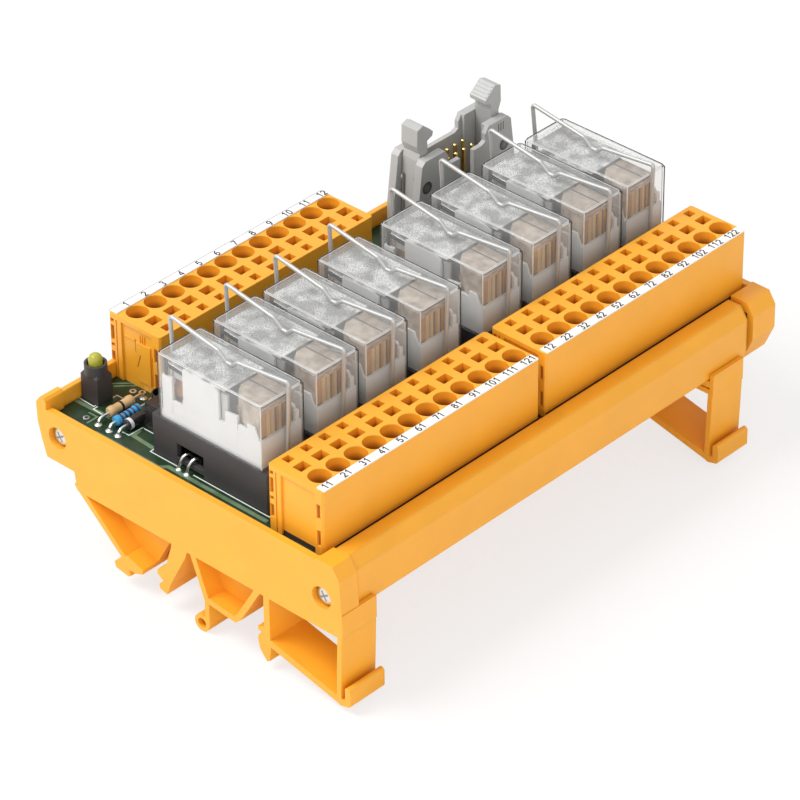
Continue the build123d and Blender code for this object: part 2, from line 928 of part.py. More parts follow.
def axial_part(x, y, radius, length):
    z = board_top + part_gap + radius
    half = length / 2
    body = rod_y(x, z, y - half, y + half, radius * 0.86)
    body += rod_y(x, z, y - half, y - half + length * 0.22, radius)
    body += rod_y(x, z, y + half - length * 0.22, y + half, radius)
    for side in (-1, 1):
        start = (x, y + side * (half - 0.1), z)
        corner = (x, y + side * (half + lead_reach - 0.9), z)
        foot = (x, y + side * (half + lead_reach), board_top - 0.2)
        body += bent_lead([start, corner, foot], lead_radius)
    return above_board(body)


def build_board_parts():
    solids = [axial_part(led_x + dx, y, radius, length) for dx, y, radius, length in axial_parts]
    cx, cy = capacitor_place
    can = rod_z(cx, cy, board_top, board_top + capacitor_height, capacitor_radius)
    rim = board_top + capacitor_height
    can -= rod_z(cx, cy, rim - 0.7, rim + 1, capacitor_radius - capacitor_wall)
    solids.append(can)
    near = first_relay_near - (socket_width - relay_width) / 2
    window_x0, _, window_z0, window_z1 = socket_window
    lead_height = board_top + (window_z0 + window_z1) / 2
    for place in window_lead_places:
        x = window_x0 + place
        inside = (x, near + 2.6, board_top - 0.2)
        rise = (x, near + 1.9, lead_height - 0.4)
        bend = (x, near - 0.6, lead_height - 0.5)
        foot = (x, near - 1.8, board_top - 0.2)
        solids.append(above_board(bent_lead([inside, rise, bend, foot], window_lead_radius)))
    return solids


# Relays


def relay_near_faces():
    y = first_relay_near
    places = [y]
    for step in relay_pitches:
        y += step
        places.append(y)
    return places


relay_base_z = board_top + socket_height
relay_top = relay_base_z + relay_height


def clip_leg_places():
    left = relay_left - clip_leg_offset
    right = relay_left + relay_length + clip_leg_offset
    return left, right


def build_socket(near):
    middle = near + relay_width / 2
    x0 = relay_left - socket_left_margin
    x1 = relay_left + relay_length + socket_right_margin
    y0, y1 = middle - socket_width / 2, middle + socket_width / 2
    socket = box(x0, x1, y0, y1, board_top, relay_base_z)
    socket = chamfer(socket.edges().filter_by(Axis.Z), 0.4)
    w = socket_wall
    deck = relay_base_z - socket_deck
    socket -= box(x0 + 3.2, x1 - 3.2, y0 + w, y1 - w, board_top - 1, deck)
    wx0, wx1, wz0, wz1 = socket_window
    socket -= box(wx0, wx1, y0 - 1, y0 + w + 1, board_top + wz0, board_top + wz1)
    socket -= box(wx0, wx1, y0 - 1, y0 + w + 1, board_top - 1, board_top + 0.9)
    px, py = pin_size
    for column in pin_columns:
        for side in (-1, 1):
            x = relay_left + column
            y = middle + side * pin_row_offset
            half_x = px / 2 + pin_clearance
            half_y = py / 2 + pin_clearance
            socket -= box(x - half_x, x + half_x, y - half_y, y + half_y, deck - 1, relay_base_z + 1)
    hole = clip_wire / 2 + clip_hole_clearance
    for x in clip_leg_places():
        socket -= rod_z(x, middle, relay_base_z - clip_leg_depth, relay_base_z + 1, hole)
    return socket


def build_cover(near):
    x0, x1 = relay_left, relay_left + relay_length
    y0, y1 = near, near + relay_width
    cover = box(x0, x1, y0, y1, relay_base_z, relay_top)
    upper = cover.edges().filter_by(Axis.Z) + cover.faces().sort_by(Axis.Z)[-1].edges()
    cover = fillet(upper, cover_radius)
    w = cover_wall
    cover -= box(x0 + w, x1 - w, y0 + w, y1 - w, relay_base_z - 1, relay_top - w)
    return cover


def build_relay_base(near):
    gap = cover_wall + base_clearance
    x0, x1 = relay_left + gap, relay_left + relay_length - gap
    y0, y1 = near + gap, near + relay_width - gap
    middle = near + relay_width / 2
    top = relay_base_z + base_thickness
    base = box(x0, x1, y0, y1, relay_base_z, top)
    wall_x0 = relay_left + pin_columns[0] + 4.0
    for wall_y0, wall_y1 in ((y0, y0 + base_wall), (y1 - base_wall, y1)):
        base += box(wall_x0, x1, wall_y0, wall_y1, top - 0.1, relay_base_z + base_wall_height)
    base += box(x1 - base_wall, x1, y0, y1, top - 0.1, relay_base_z + base_wall_height)
    px, py = pin_size
    for column in pin_columns:
        for side in (-1, 1):
            x = relay_left + column
            y = middle + side * pin_row_offset
            bottom = relay_base_z - pin_length
            base += box(x - px / 2, x + px / 2, y - py / 2, y + py / 2, bottom, top - 0.1)
    return base


def coil_end():
    return relay_left + coil_start + coil_length


def build_coil(near):
    """Bobbin with its winding, and the iron core that ends at the armature."""
    middle = near + relay_width / 2
    z = relay_base_z + coil_axis_height
    x0 = relay_left + coil_start
    x1 = coil_end()
    coil = rod_x(middle, z, x0 + coil_flange, x1 - coil_flange, coil_radius - 0.5)
    half = coil_radius + 0.1
    bottom = relay_base_z + base_thickness
    for fx in (x0, x1 - coil_flange):
        coil += box(fx, fx + coil_flange, middle - half, middle + half, bottom, z + half)
    coil += rod_x(middle, z, x1 - 0.2, x1 + 0.3, coil_core_radius)
    return coil


def yoke_top():
    return relay_base_z + coil_axis_height + coil_radius + 0.4 + yoke_thickness


def build_yoke(near):
    """An angled steel yoke over the coil and down behind it."""
    middle = near + relay_width / 2
    x0 = relay_left + coil_start - yoke_thickness
    top = yoke_top()
    half = yoke_width / 2
    x1, _ = armature_pivot()
    yoke = box(x0, x1 - armature_seat_gap, middle - half, middle + half, top - yoke_thickness, top)
    back = box(x0, x0 + yoke_thickness, middle - half, middle + half, relay_base_z + base_thickness, top)
    return fillet((yoke + back).edges().filter_by(Axis.Y).group_by(Axis.X)[0].sort_by(Axis.Z)[-1], 0.8)


def armature_pivot():
    """X and Z of the yoke's lower edge, which the armature tilts on."""
    return coil_end() + 0.3 + armature_gap, yoke_top() - yoke_thickness


def build_armature(near):
    middle = near + relay_width / 2
    x, _ = armature_pivot()
    top = yoke_top()
    half = armature_width / 2
    bottom = relay_base_z + base_thickness + armature_bottom_gap
    plate = box(x, x + armature_thickness, middle - half, middle + half, bottom, top)
    push = box(x, x + armature_thickness + 0.9, middle - 1.5, middle + 1.5, bottom + 1.0, bottom + 2.4)
    return plate + push


def build_contacts(near):
    """Two stacks of contact blades that stand on the base."""
    middle = near + relay_width / 2
    blade_x, blade_y, blade_z = contact_blade
    z0 = relay_base_z + base_thickness
    blades = []
    for column in contact_columns:
        for side in (-1, 1):
            x = relay_left + column
            y = middle + side * contact_row_offset
            blade = box(x - blade_x / 2, x + blade_x / 2, y - blade_y / 2, y + blade_y / 2, z0, z0 + blade_z)
            tip = rod_x(y, z0 + blade_z - 1.4, x - 0.5, x + 0.5, 0.8)
            blades.append(blade + tip)
    return blades


def build_clip(near, lean):
    """One bent wire: a tall leg at the left, a slope to the relay's top and a leg at the right."""
    middle = near + relay_width / 2
    left, right = clip_leg_places()
    rest = relay_top + clip_wire / 2
    dip_x = relay_left + relay_length * clip_dip_share
    foot = relay_base_z - clip_leg_depth
    straight = relay_base_z + 1.0
    slope_x, slope_z = clip_slope_break
    bump_x, bump_z = clip_bump
    points = [
        (left, middle, foot),
        (left, middle, straight),
        (left - lean, middle, relay_top + clip_peak),
        (dip_x - slope_x, middle, rest + slope_z),
        (dip_x, middle, rest),
        (dip_x + clip_dip_length, middle, rest),
        (dip_x + bump_x, middle, rest + bump_z),
        (right, middle + clip_end_shift, rest + clip_end_rise),
        (right, middle, straight),
        (right, middle, foot),
    ]
    path = FilletPolyline(*points, radius=clip_bend_radius)
    start = Plane(origin=points[0], z_dir=(0, 0, 1))
    return sweep(start * Circle(clip_wire / 2), path=path)


# Every piece is written under its own name

save("carrier_profile", build_profile())
save("end_plate_front", build_front_plate())
save("end_plate_rear", build_rear_plate())
save("mounting_foot_rear", build_rear_foot())
save("end_plate_screws", *build_screws())
save("circuit_board", build_board())

second_output_near = output_near_end + block_length() + block_gap
output_1 = (output_block_outer, output_near_end, -1)
output_2 = (output_block_outer, second_output_near, -1)
inputs = (input_block_outer, input_near_end, 1)
save("output_terminal_housing_1", build_terminal_housing(*output_1, output_block_outer))
save("output_terminal_housing_2", build_terminal_housing(*output_2, output_block_outer))
save("input_terminal_housing", build_terminal_housing(*inputs, input_block_foot))
save("terminal_clamps", *build_clamps([output_1, output_2, inputs]))
save("marker_strips", *build_markers([output_1, output_2, inputs]))

save("header_shell", build_header_shell())
save("header_pins", *build_header_pins())
save("header_latch_near", build_latch(-1))
save("header_latch_far", build_latch(1))
save("led_holder", build_led_holder())
save("supply_led", build_led())
save("board_components", *build_board_parts())

magnets = []
contacts = []
for number, (near_face, clip_lean) in enumerate(zip(relay_near_faces(), clip_leans), start=1):
    save(f"relay_{number}_socket", build_socket(near_face))
    save(f"relay_{number}_cover", build_cover(near_face))
    save(f"relay_{number}_base", build_relay_base(near_face))
    save(f"relay_{number}_armature", build_armature(near_face))
    save(f"relay_{number}_clip", build_clip(near_face, clip_lean))
    magnets += [build_coil(near_face), build_yoke(near_face)]
    contacts += build_contacts(near_face)
save("relay_magnets", *magnets)
save("relay_contacts", *contacts)
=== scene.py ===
import math

import bmesh
import bpy
from mathutils import Matrix, Vector


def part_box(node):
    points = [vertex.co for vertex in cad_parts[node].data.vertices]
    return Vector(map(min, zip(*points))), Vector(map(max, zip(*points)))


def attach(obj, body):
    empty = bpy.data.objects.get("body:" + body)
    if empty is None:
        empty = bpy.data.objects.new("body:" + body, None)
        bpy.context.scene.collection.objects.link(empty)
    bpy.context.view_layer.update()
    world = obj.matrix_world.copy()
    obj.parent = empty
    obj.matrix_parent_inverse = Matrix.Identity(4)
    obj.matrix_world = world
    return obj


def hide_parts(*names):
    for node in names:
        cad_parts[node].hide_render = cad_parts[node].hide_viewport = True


MM = 0.001
BODY = "module"
RELAYS = range(1, 9)
POLES = 12
OUTPUT_BLOCKS = ("output_terminal_housing_1", "output_terminal_housing_2")
INPUT_BLOCK = "input_terminal_housing"
BLOCKS = (*OUTPUT_BLOCKS, INPUT_BLOCK)
DIGIT_WIDTH = 0.56
SHARP_DEGREES = 35

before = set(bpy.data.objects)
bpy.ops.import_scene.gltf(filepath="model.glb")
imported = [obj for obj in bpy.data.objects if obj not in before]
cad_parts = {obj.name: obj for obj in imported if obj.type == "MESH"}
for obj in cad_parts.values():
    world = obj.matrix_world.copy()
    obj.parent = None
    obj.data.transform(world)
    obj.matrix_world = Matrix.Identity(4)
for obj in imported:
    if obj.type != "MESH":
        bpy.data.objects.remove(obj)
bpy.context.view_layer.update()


# Camera, light and floor


def camera_axes(azimuth, elevation, roll):
    """The camera's right, up and back directions, with its angles in degrees."""
    a, e, r = (math.radians(v) for v in (azimuth, elevation, roll))
    back = Vector((math.sin(a) * math.cos(e), -math.cos(a) * math.cos(e), math.sin(e)))
    right = Vector((math.cos(a), math.sin(a), 0))
    up = back.cross(right)
    return right * math.cos(r) + up * math.sin(r), up * math.cos(r) - right * math.sin(r), back


def add_camera():
    """A camera at the photograph's angle, with the same perspective."""
    right, up, back = camera_axes(azimuth=43.305, elevation=34.433, roll=-0.547)
    first_pole = Vector((28.975, -58.5, 46.75)) * MM
    sideways, upward, distance = 15.413, 14.549, 881.417
    sensor_mm, focal_pixels, picture_pixels = 36, 4588.9, 800
    place = first_pole + (right * sideways + up * upward + back * distance) * MM
    data = bpy.data.cameras.new("camera")
    data.sensor_width = sensor_mm
    data.lens = sensor_mm * focal_pixels / picture_pixels
    data.clip_start = 0.05
    data.clip_end = 20
    camera = bpy.data.objects.new("camera", data)
    bpy.context.scene.collection.objects.link(camera)
    turn = Matrix((right, up, back)).transposed().to_4x4()
    camera.matrix_world = Matrix.Translation(place) @ turn
    bpy.context.scene.camera = camera


def add_lamp(name, place, size, watts):
    """A round lamp that faces the part, with its place and size in metres."""
    aim = Vector((0, 0, 0.02))
    data = bpy.data.lights.new(name, "AREA")
    data.shape = "DISK"
    data.size = size
    data.energy = watts
    lamp = bpy.data.objects.new(name, data)
    lamp.location = place
    lamp.rotation_euler = (aim - Vector(place)).to_track_quat("-Z", "Y").to_euler()
    bpy.context.scene.collection.objects.link(lamp)


def add_world():
    """An even pale room that is white where it is seen directly, in gloss or through glass."""
    room_colour, room_strength = (1, 0.99, 0.97, 1), 0.62
    world = bpy.data.worlds.new("studio")
    bpy.context.scene.world = world
    world.use_nodes = True
    tree = world.node_tree
    tree.nodes.clear()
    path = tree.nodes.new("ShaderNodeLightPath")
    lit = tree.nodes.new("ShaderNodeBackground")
    lit.inputs["Color"].default_value = room_colour
    lit.inputs["Strength"].default_value = room_strength
    seen = tree.nodes.new("ShaderNodeBackground")
    seen.inputs["Color"].default_value = (1, 1, 1, 1)
    seen.inputs["Strength"].default_value = 1
    mix = tree.nodes.new("ShaderNodeMixShader")
    out = tree.nodes.new("ShaderNodeOutputWorld")
    either = path.outputs["Is Camera Ray"]
    for name in ("Is Glossy Ray", "Is Transmission Ray"):
        most = tree.nodes.new("ShaderNodeMath")
        most.operation = "MAXIMUM"
        tree.links.new(either, most.inputs[0])
        tree.links.new(path.outputs[name], most.inputs[1])
        either = most.outputs[0]
    tree.links.new(either, mix.inputs["Fac"])
    tree.links.new(lit.outputs[0], mix.inputs[1])
    tree.links.new(seen.outputs[0], mix.inputs[2])
    tree.links.new(mix.outputs[0], out.inputs["Surface"])


def add_floor():
    """A wide white floor that takes shadows and partly glows, so that it meets the white room."""
    far, glow_share = 3.0, 0.72
    mesh = bpy.data.meshes.new("floor")
    mesh.from_pydata([(-far, -far, 0), (far, -far, 0), (far, far, 0), (-far, far, 0)], [], [(0, 1, 2, 3)])
    floor = bpy.data.objects.new("floor", mesh)
    bpy.context.scene.collection.objects.link(floor)
    material, tree, shader = new_material("floor_white")
    shader.inputs["Base Color"].default_value = (0.9, 0.9, 0.9, 1)
    shader.inputs["Roughness"].default_value = 0.9
    shader.inputs["Specular IOR Level"].default_value = 0
    glow = tree.nodes.new("ShaderNodeEmission")
    glow.inputs["Color"].default_value = (1, 1, 1, 1)
    path = tree.nodes.new("ShaderNodeLightPath")
    share = tree.nodes.new("ShaderNodeMath")
    share.operation = "MULTIPLY"
    share.inputs[1].default_value = glow_share
    tree.links.new(path.outputs["Is Camera Ray"], share.inputs[0])
    mix = tree.nodes.new("ShaderNodeMixShader")
    tree.links.new(share.outputs[0], mix.inputs["Fac"])
    tree.links.new(shader.outputs[0], mix.inputs[1])
    tree.links.new(glow.outputs[0], mix.inputs[2])
    tree.links.new(mix.outputs[0], tree.nodes["Material Output"].inputs["Surface"])
    mesh.materials.append(material)


# Materials


def new_material(name):
    """A material with its node tree and its main shader."""
    material = bpy.data.materials.new(name)
    material.use_nodes = True
    tree = material.node_tree
    return material, tree, tree.nodes["Principled BSDF"]


def object_noise(tree, size_mm, detail=3.0):
    """Noise fixed to the object, whose patches are about size_mm wide."""
    where = tree.nodes.new("ShaderNodeTexCoord")
    noise = tree.nodes.new("ShaderNodeTexNoise")
    noise.inputs["Scale"].default_value = 1 / (size_mm * MM)
    noise.inputs["Detail"].default_value = detail
    tree.links.new(where.outputs["Object"], noise.inputs["Vector"])
    return noise.outputs["Fac"]


def shade_by(tree, factor, dark, light, spread=0.2):
    """A colour that runs from dark to light with a factor, over a spread on each side of a half."""
    ramp = tree.nodes.new("ShaderNodeValToRGB")
    ramp.color_ramp.elements[0].position = 0.5 - spread
    ramp.color_ramp.elements[1].position = 0.5 + spread
    ramp.color_ramp.elements[0].color = (*dark, 1)
    ramp.color_ramp.elements[1].color = (*light, 1)
    tree.links.new(factor, ramp.inputs["Fac"])
    return ramp.outputs["Color"]


def roughen(tree, shader, factor, low, high):
    """Roughness that runs from low to high with a factor."""
    spread = tree.nodes.new("ShaderNodeMapRange")
    spread.inputs["To Min"].default_value = low
    spread.inputs["To Max"].default_value = high
    tree.links.new(factor, spread.inputs["Value"])
    tree.links.new(spread.outputs["Result"], shader.inputs["Roughness"])


def surface(tree, shader, height, depth_mm, strength, edge_mm):
    """Bumps of a given depth over edges that are rounded by edge_mm."""
    bump = tree.nodes.new("ShaderNodeBump")
    bump.inputs["Strength"].default_value = strength
    bump.inputs["Distance"].default_value = depth_mm * MM
    tree.links.new(height, bump.inputs["Height"])
    if edge_mm:
        edge = tree.nodes.new("ShaderNodeBevel")
        edge.samples = 4
        edge.inputs["Radius"].default_value = edge_mm * MM
        tree.links.new(edge.outputs["Normal"], bump.inputs["Normal"])
    tree.links.new(bump.outputs["Normal"], shader.inputs["Normal"])


def moulded(name, colour, roughness, spread=0.07, edge_mm=0.0, subsurface=0.0):
    """Injection-moulded plastic: fine grain, slow changes of shade, soft edges."""
    patch_mm, sheen_mm, grain_mm, grain_depth_mm = 9.0, 3.0, 0.35, 0.02
    material, tree, shader = new_material(name)
    dark = [c * (1 - spread) for c in colour]
    light = [min(1, c * (1 + spread)) for c in colour]
    slow = object_noise(tree, patch_mm, 2.0)
    tree.links.new(shade_by(tree, slow, dark, light), shader.inputs["Base Color"])
    roughen(tree, shader, object_noise(tree, sheen_mm), roughness - 0.06, roughness + 0.08)
    surface(tree, shader, object_noise(tree, grain_mm, 5.0), grain_depth_mm, 0.25, edge_mm)
    if subsurface:
        shader.inputs["Subsurface Weight"].default_value = subsurface
        shader.inputs["Subsurface Radius"].default_value = (1.0, 0.45, 0.12)
        shader.inputs["Subsurface Scale"].default_value = 1.2 * MM
    return material


def metal(name, colour, roughness, grain_mm=0.3, metallic=1.0):
    """Drawn or plated metal with a fine grain."""
    edge_mm, depth_mm = 0.08, 0.01
    material, tree, shader = new_material(name)
    fine = object_noise(tree, grain_mm, 6.0)
    dark = [c * 0.85 for c in colour]
    tree.links.new(shade_by(tree, fine, dark, colour), shader.inputs["Base Color"])
    shader.inputs["Metallic"].default_value = metallic
    roughen(tree, shader, fine, roughness - 0.05, roughness + 0.1)
    surface(tree, shader, fine, depth_mm, 0.3, edge_mm)
    return material


def clear(name, colour, alpha, roughness=0.06, transmission=0.0):
    """Clear moulded plastic with a slightly uneven, hazy surface."""
    patch_mm, haze_mm, grain_mm, depth_mm, edge_mm, acrylic_ior = 4.0, 1.0, 2.0, 0.02, 0.3, 1.49
    material, tree, shader = new_material(name)
    light = [min(1, c * 1.05) for c in colour]
    dark = [c * 0.9 for c in colour]
    tree.links.new(shade_by(tree, object_noise(tree, patch_mm), dark, light), shader.inputs["Base Color"])
    roughen(tree, shader, object_noise(tree, haze_mm, 5.0), roughness, roughness + 0.12)
    surface(tree, shader, object_noise(tree, grain_mm, 4.0), depth_mm, 0.35, edge_mm)
    shader.inputs["Alpha"].default_value = alpha
    shader.inputs["IOR"].default_value = acrylic_ior
    shader.inputs["Transmission Weight"].default_value = transmission
    return material


def wound_copper():
    """Enamelled copper wire, wound turn beside turn along X, with painted shade darkening the grooves between
    the turns.
    """
    band_mm = 0.9
    material, tree, shader = new_material("copper_winding")
    where = tree.nodes.new("ShaderNodeTexCoord")
    turns = tree.nodes.new("ShaderNodeTexWave")
    turns.wave_type = "BANDS"
    turns.bands_direction = "X"
    turns.inputs["Scale"].default_value = 1 / (band_mm * MM)
    turns.inputs["Distortion"].default_value = 0.4
    tree.links.new(where.outputs["Object"], turns.inputs["Vector"])
    # Painted shade: dark where the bands dip between turns, light on their crests.
    shade = shade_by(tree, turns.outputs["Fac"], (0.3, 0.1, 0.03), (0.85, 0.38, 0.15))
    tree.links.new(shade, shader.inputs["Base Color"])
    shader.inputs["Metallic"].default_value = 0.75
    shader.inputs["Roughness"].default_value = 0.32
    surface(tree, shader, turns.outputs["Fac"], 0.08, 0.6, 0)
    return material


def solder_resist(name, dark, light):
    """Green resist over the weave of the board's glass cloth."""
    material, tree, shader = new_material(name)
    tree.links.new(shade_by(tree, object_noise(tree, 3.0), dark, light), shader.inputs["Base Color"])
    shader.inputs["Roughness"].default_value = 0.3
    shader.inputs["Specular IOR Level"].default_value = 0.3
    surface(tree, shader, object_noise(tree, 0.5, 2.0), 0.02, 0.3, 0.08)
    return material


def blotchy(name, dark, light, size_mm, spread):
    """Frosted plastic with uneven patches of shade. The smaller the spread is, the harder they stand out."""
    material, tree, shader = new_material(name)
    patches = shade_by(tree, object_noise(tree, size_mm, 6.0), dark, light, spread)
    tree.links.new(patches, shader.inputs["Base Color"])
    shader.inputs["Roughness"].default_value = 0.35
    surface(tree, shader, object_noise(tree, size_mm, 4.0), 0.15, 0.5, 0.1)
    return material


def speckled(name, colour, size_mm, most):
    """A see-through skin with fine specks up to a given alpha, as spark-eroded clear plastic shows."""
    patch_mm = 2.5
    material, tree, shader = new_material(name)
    dark = [c * 0.6 for c in colour]
    tree.links.new(shade_by(tree, object_noise(tree, patch_mm), dark, colour), shader.inputs["Base Color"])
    specks = tree.nodes.new("ShaderNodeMapRange")
    specks.inputs["From Min"].default_value = 0.5
    specks.inputs["From Max"].default_value = 0.62
    specks.inputs["To Max"].default_value = most
    tree.links.new(object_noise(tree, size_mm, 2.0), specks.inputs["Value"])
    tree.links.new(specks.outputs["Result"], shader.inputs["Alpha"])
    shader.inputs["Roughness"].default_value = 0.4
    return material


def hole_shade(name, top_mm, bottom_mm, light, dark):
    """Painted shade inside deep holes: plastic coloured darker with depth below the blocks' tops."""
    material, tree, shader = new_material(name)
    where = tree.nodes.new("ShaderNodeTexCoord")
    parts = tree.nodes.new("ShaderNodeSeparateXYZ")
    depth = tree.nodes.new("ShaderNodeMapRange")
    depth.inputs["From Min"].default_value = bottom_mm * MM
    depth.inputs["From Max"].default_value = top_mm * MM
    tree.links.new(where.outputs["Object"], parts.inputs["Vector"])
    tree.links.new(parts.outputs["Z"], depth.inputs["Value"])
    tree.links.new(shade_by(tree, depth.outputs["Result"], dark, light), shader.inputs["Base Color"])
    shader.inputs["Roughness"].default_value = 0.45
    return material


ORANGE = (0.9, 0.4, 0.026)
orange = moulded("orange_plastic", ORANGE, roughness=0.4, spread=0.03, edge_mm=0.15, subsurface=0.1)
black = moulded("black_plastic", (0.04, 0.037, 0.038), roughness=0.5, spread=0.12, edge_mm=0.22)
grey = moulded("light_grey_plastic", (0.45, 0.45, 0.44), roughness=0.42, spread=0.04, edge_mm=0.15)
pale = moulded("white_plastic", (0.68, 0.68, 0.67), roughness=0.4, spread=0.04, edge_mm=0.12)
marker = moulded("marker_white", (0.88, 0.88, 0.87), roughness=0.5, spread=0.02, edge_mm=0.08)
ink = moulded("marker_ink", (0.02, 0.02, 0.022), roughness=0.6)
silkscreen = moulded("silkscreen_white", (0.8, 0.83, 0.8), roughness=0.55)
steel = metal("zinc_plated_steel", (0.72, 0.72, 0.7), roughness=0.3)
wire = metal("drawn_steel_wire", (0.5, 0.5, 0.49), roughness=0.42, grain_mm=0.2, metallic=0.45)
gold = metal("gold_plate", (0.92, 0.66, 0.24), roughness=0.2)
tin = metal("tinned_lead", (0.8, 0.8, 0.78), roughness=0.3)
copper = wound_copper()
orange_rounded = moulded("orange_rounded", ORANGE, roughness=0.36, spread=0.03, edge_mm=0.9, subsurface=0.1)
# Painted shade in the holes: orange at the mouth, brown further down.
hole_shade_orange = hole_shade("hole_shade_orange", 46.6, 42.6, (0.9, 0.36, 0.02), (0.36, 0.11, 0.01))
# Painted shade: dark orange plates that stand in for the insides of openings in the blocks' ends.
slot_shade = moulded("slot_shade", (0.42, 0.13, 0.012), roughness=0.5)
resist = solder_resist("solder_resist", (0.01, 0.03, 0.014), (0.026, 0.06, 0.03))
trace_green = solder_resist("resist_over_copper", (0.1, 0.16, 0.09), (0.2, 0.28, 0.17))
cover_clear = clear("clear_cover", (0.86, 0.87, 0.87), alpha=0.13, roughness=0.05)
cover_grain = speckled("cover_grain", (0.34, 0.34, 0.34), 0.3, 0.36)
# Painted refraction and painted highlight: dark and light strips along the clear covers' edges.
edge_painted_dark = clear("cover_edge_painted_dark", (0.035, 0.035, 0.037), alpha=0.9)
edge_painted_highlight = clear("cover_edge_painted_highlight", (0.92, 0.92, 0.91), alpha=0.6)
frosted = blotchy("frosted_insulation", (0.32, 0.31, 0.29), (0.86, 0.86, 0.84), 3.6, 0.09)
chamber_top = blotchy("chamber_beige", (0.24, 0.175, 0.12), (0.48, 0.39, 0.31), 2.4, 0.15)
amber = moulded("amber_plastic", (0.34, 0.15, 0.014), roughness=0.3, spread=0.45)
cream = moulded("cream_plastic", (0.42, 0.31, 0.15), roughness=0.3, spread=0.3)
seam_dark = moulded("chamber_seam", (0.07, 0.045, 0.03), roughness=0.4)
spring = metal("contact_spring", (0.8, 0.6, 0.42), roughness=0.28)
dull_steel = metal("relay_yoke_steel", (0.6, 0.6, 0.59), roughness=0.35)
dark_steel = metal("dark_steel", (0.02, 0.02, 0.02), roughness=0.35)
# Painted shade: dark greys for narrow gaps, holes and grooves.
shadow_grey = moulded("grey_recess_shade", (0.13, 0.13, 0.13), roughness=0.5)
hole_shade_grey = moulded("grey_hole_shade", (0.07, 0.07, 0.07), roughness=0.6)
# Painted shadow for the narrow gaps at the output blocks' feet and under their end panels.
gap_shadow = moulded("gap_painted_shadow", (0.03, 0.02, 0.012), roughness=0.8)
beige = moulded("resistor_beige", (0.6, 0.4, 0.19), roughness=0.35, edge_mm=0.05)
band_black = moulded("band_black", (0.015, 0.014, 0.014), roughness=0.35)
blue = moulded("resistor_blue", (0.035, 0.3, 0.6), roughness=0.3, edge_mm=0.05)
band_dark = moulded("band_brown", (0.03, 0.025, 0.06), roughness=0.35)
diode_black = moulded("diode_black", (0.02, 0.018, 0.02), roughness=0.22, edge_mm=0.05)
band_silver = moulded("band_silver", (0.75, 0.72, 0.74), roughness=0.3)
teal = moulded("can_seal_teal", (0.02, 0.16, 0.13), roughness=0.35)
lens = clear("lens_yellow_green", (0.82, 0.8, 0.09), alpha=0.9, roughness=0.1, transmission=0.5)


def paint(material, *nodes):
    """Gives CAD nodes a finished material."""
    for node in nodes:
        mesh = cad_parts[node].data
        mesh.materials.clear()
        mesh.materials.append(material)


# Mesh building. Sizes are in millimetres from a chosen corner of the frame.


def mitre(spots, i, closed, sharpest):
    """The directions before, after and through point i of a line, and the stretch of its mitred bend."""
    count = len(spots)
    before = (spots[i] - spots[i - 1]).normalized() if closed or i else None
    after = (spots[(i + 1) % count] - spots[i]).normalized() if closed or i + 1 < count else None
    along = before if after is None else after if before is None else (before + after).normalized()
    stretch = 1 if before is None or after is None else 1 / max(sharpest, along.dot(after))
    return before, after, along, stretch


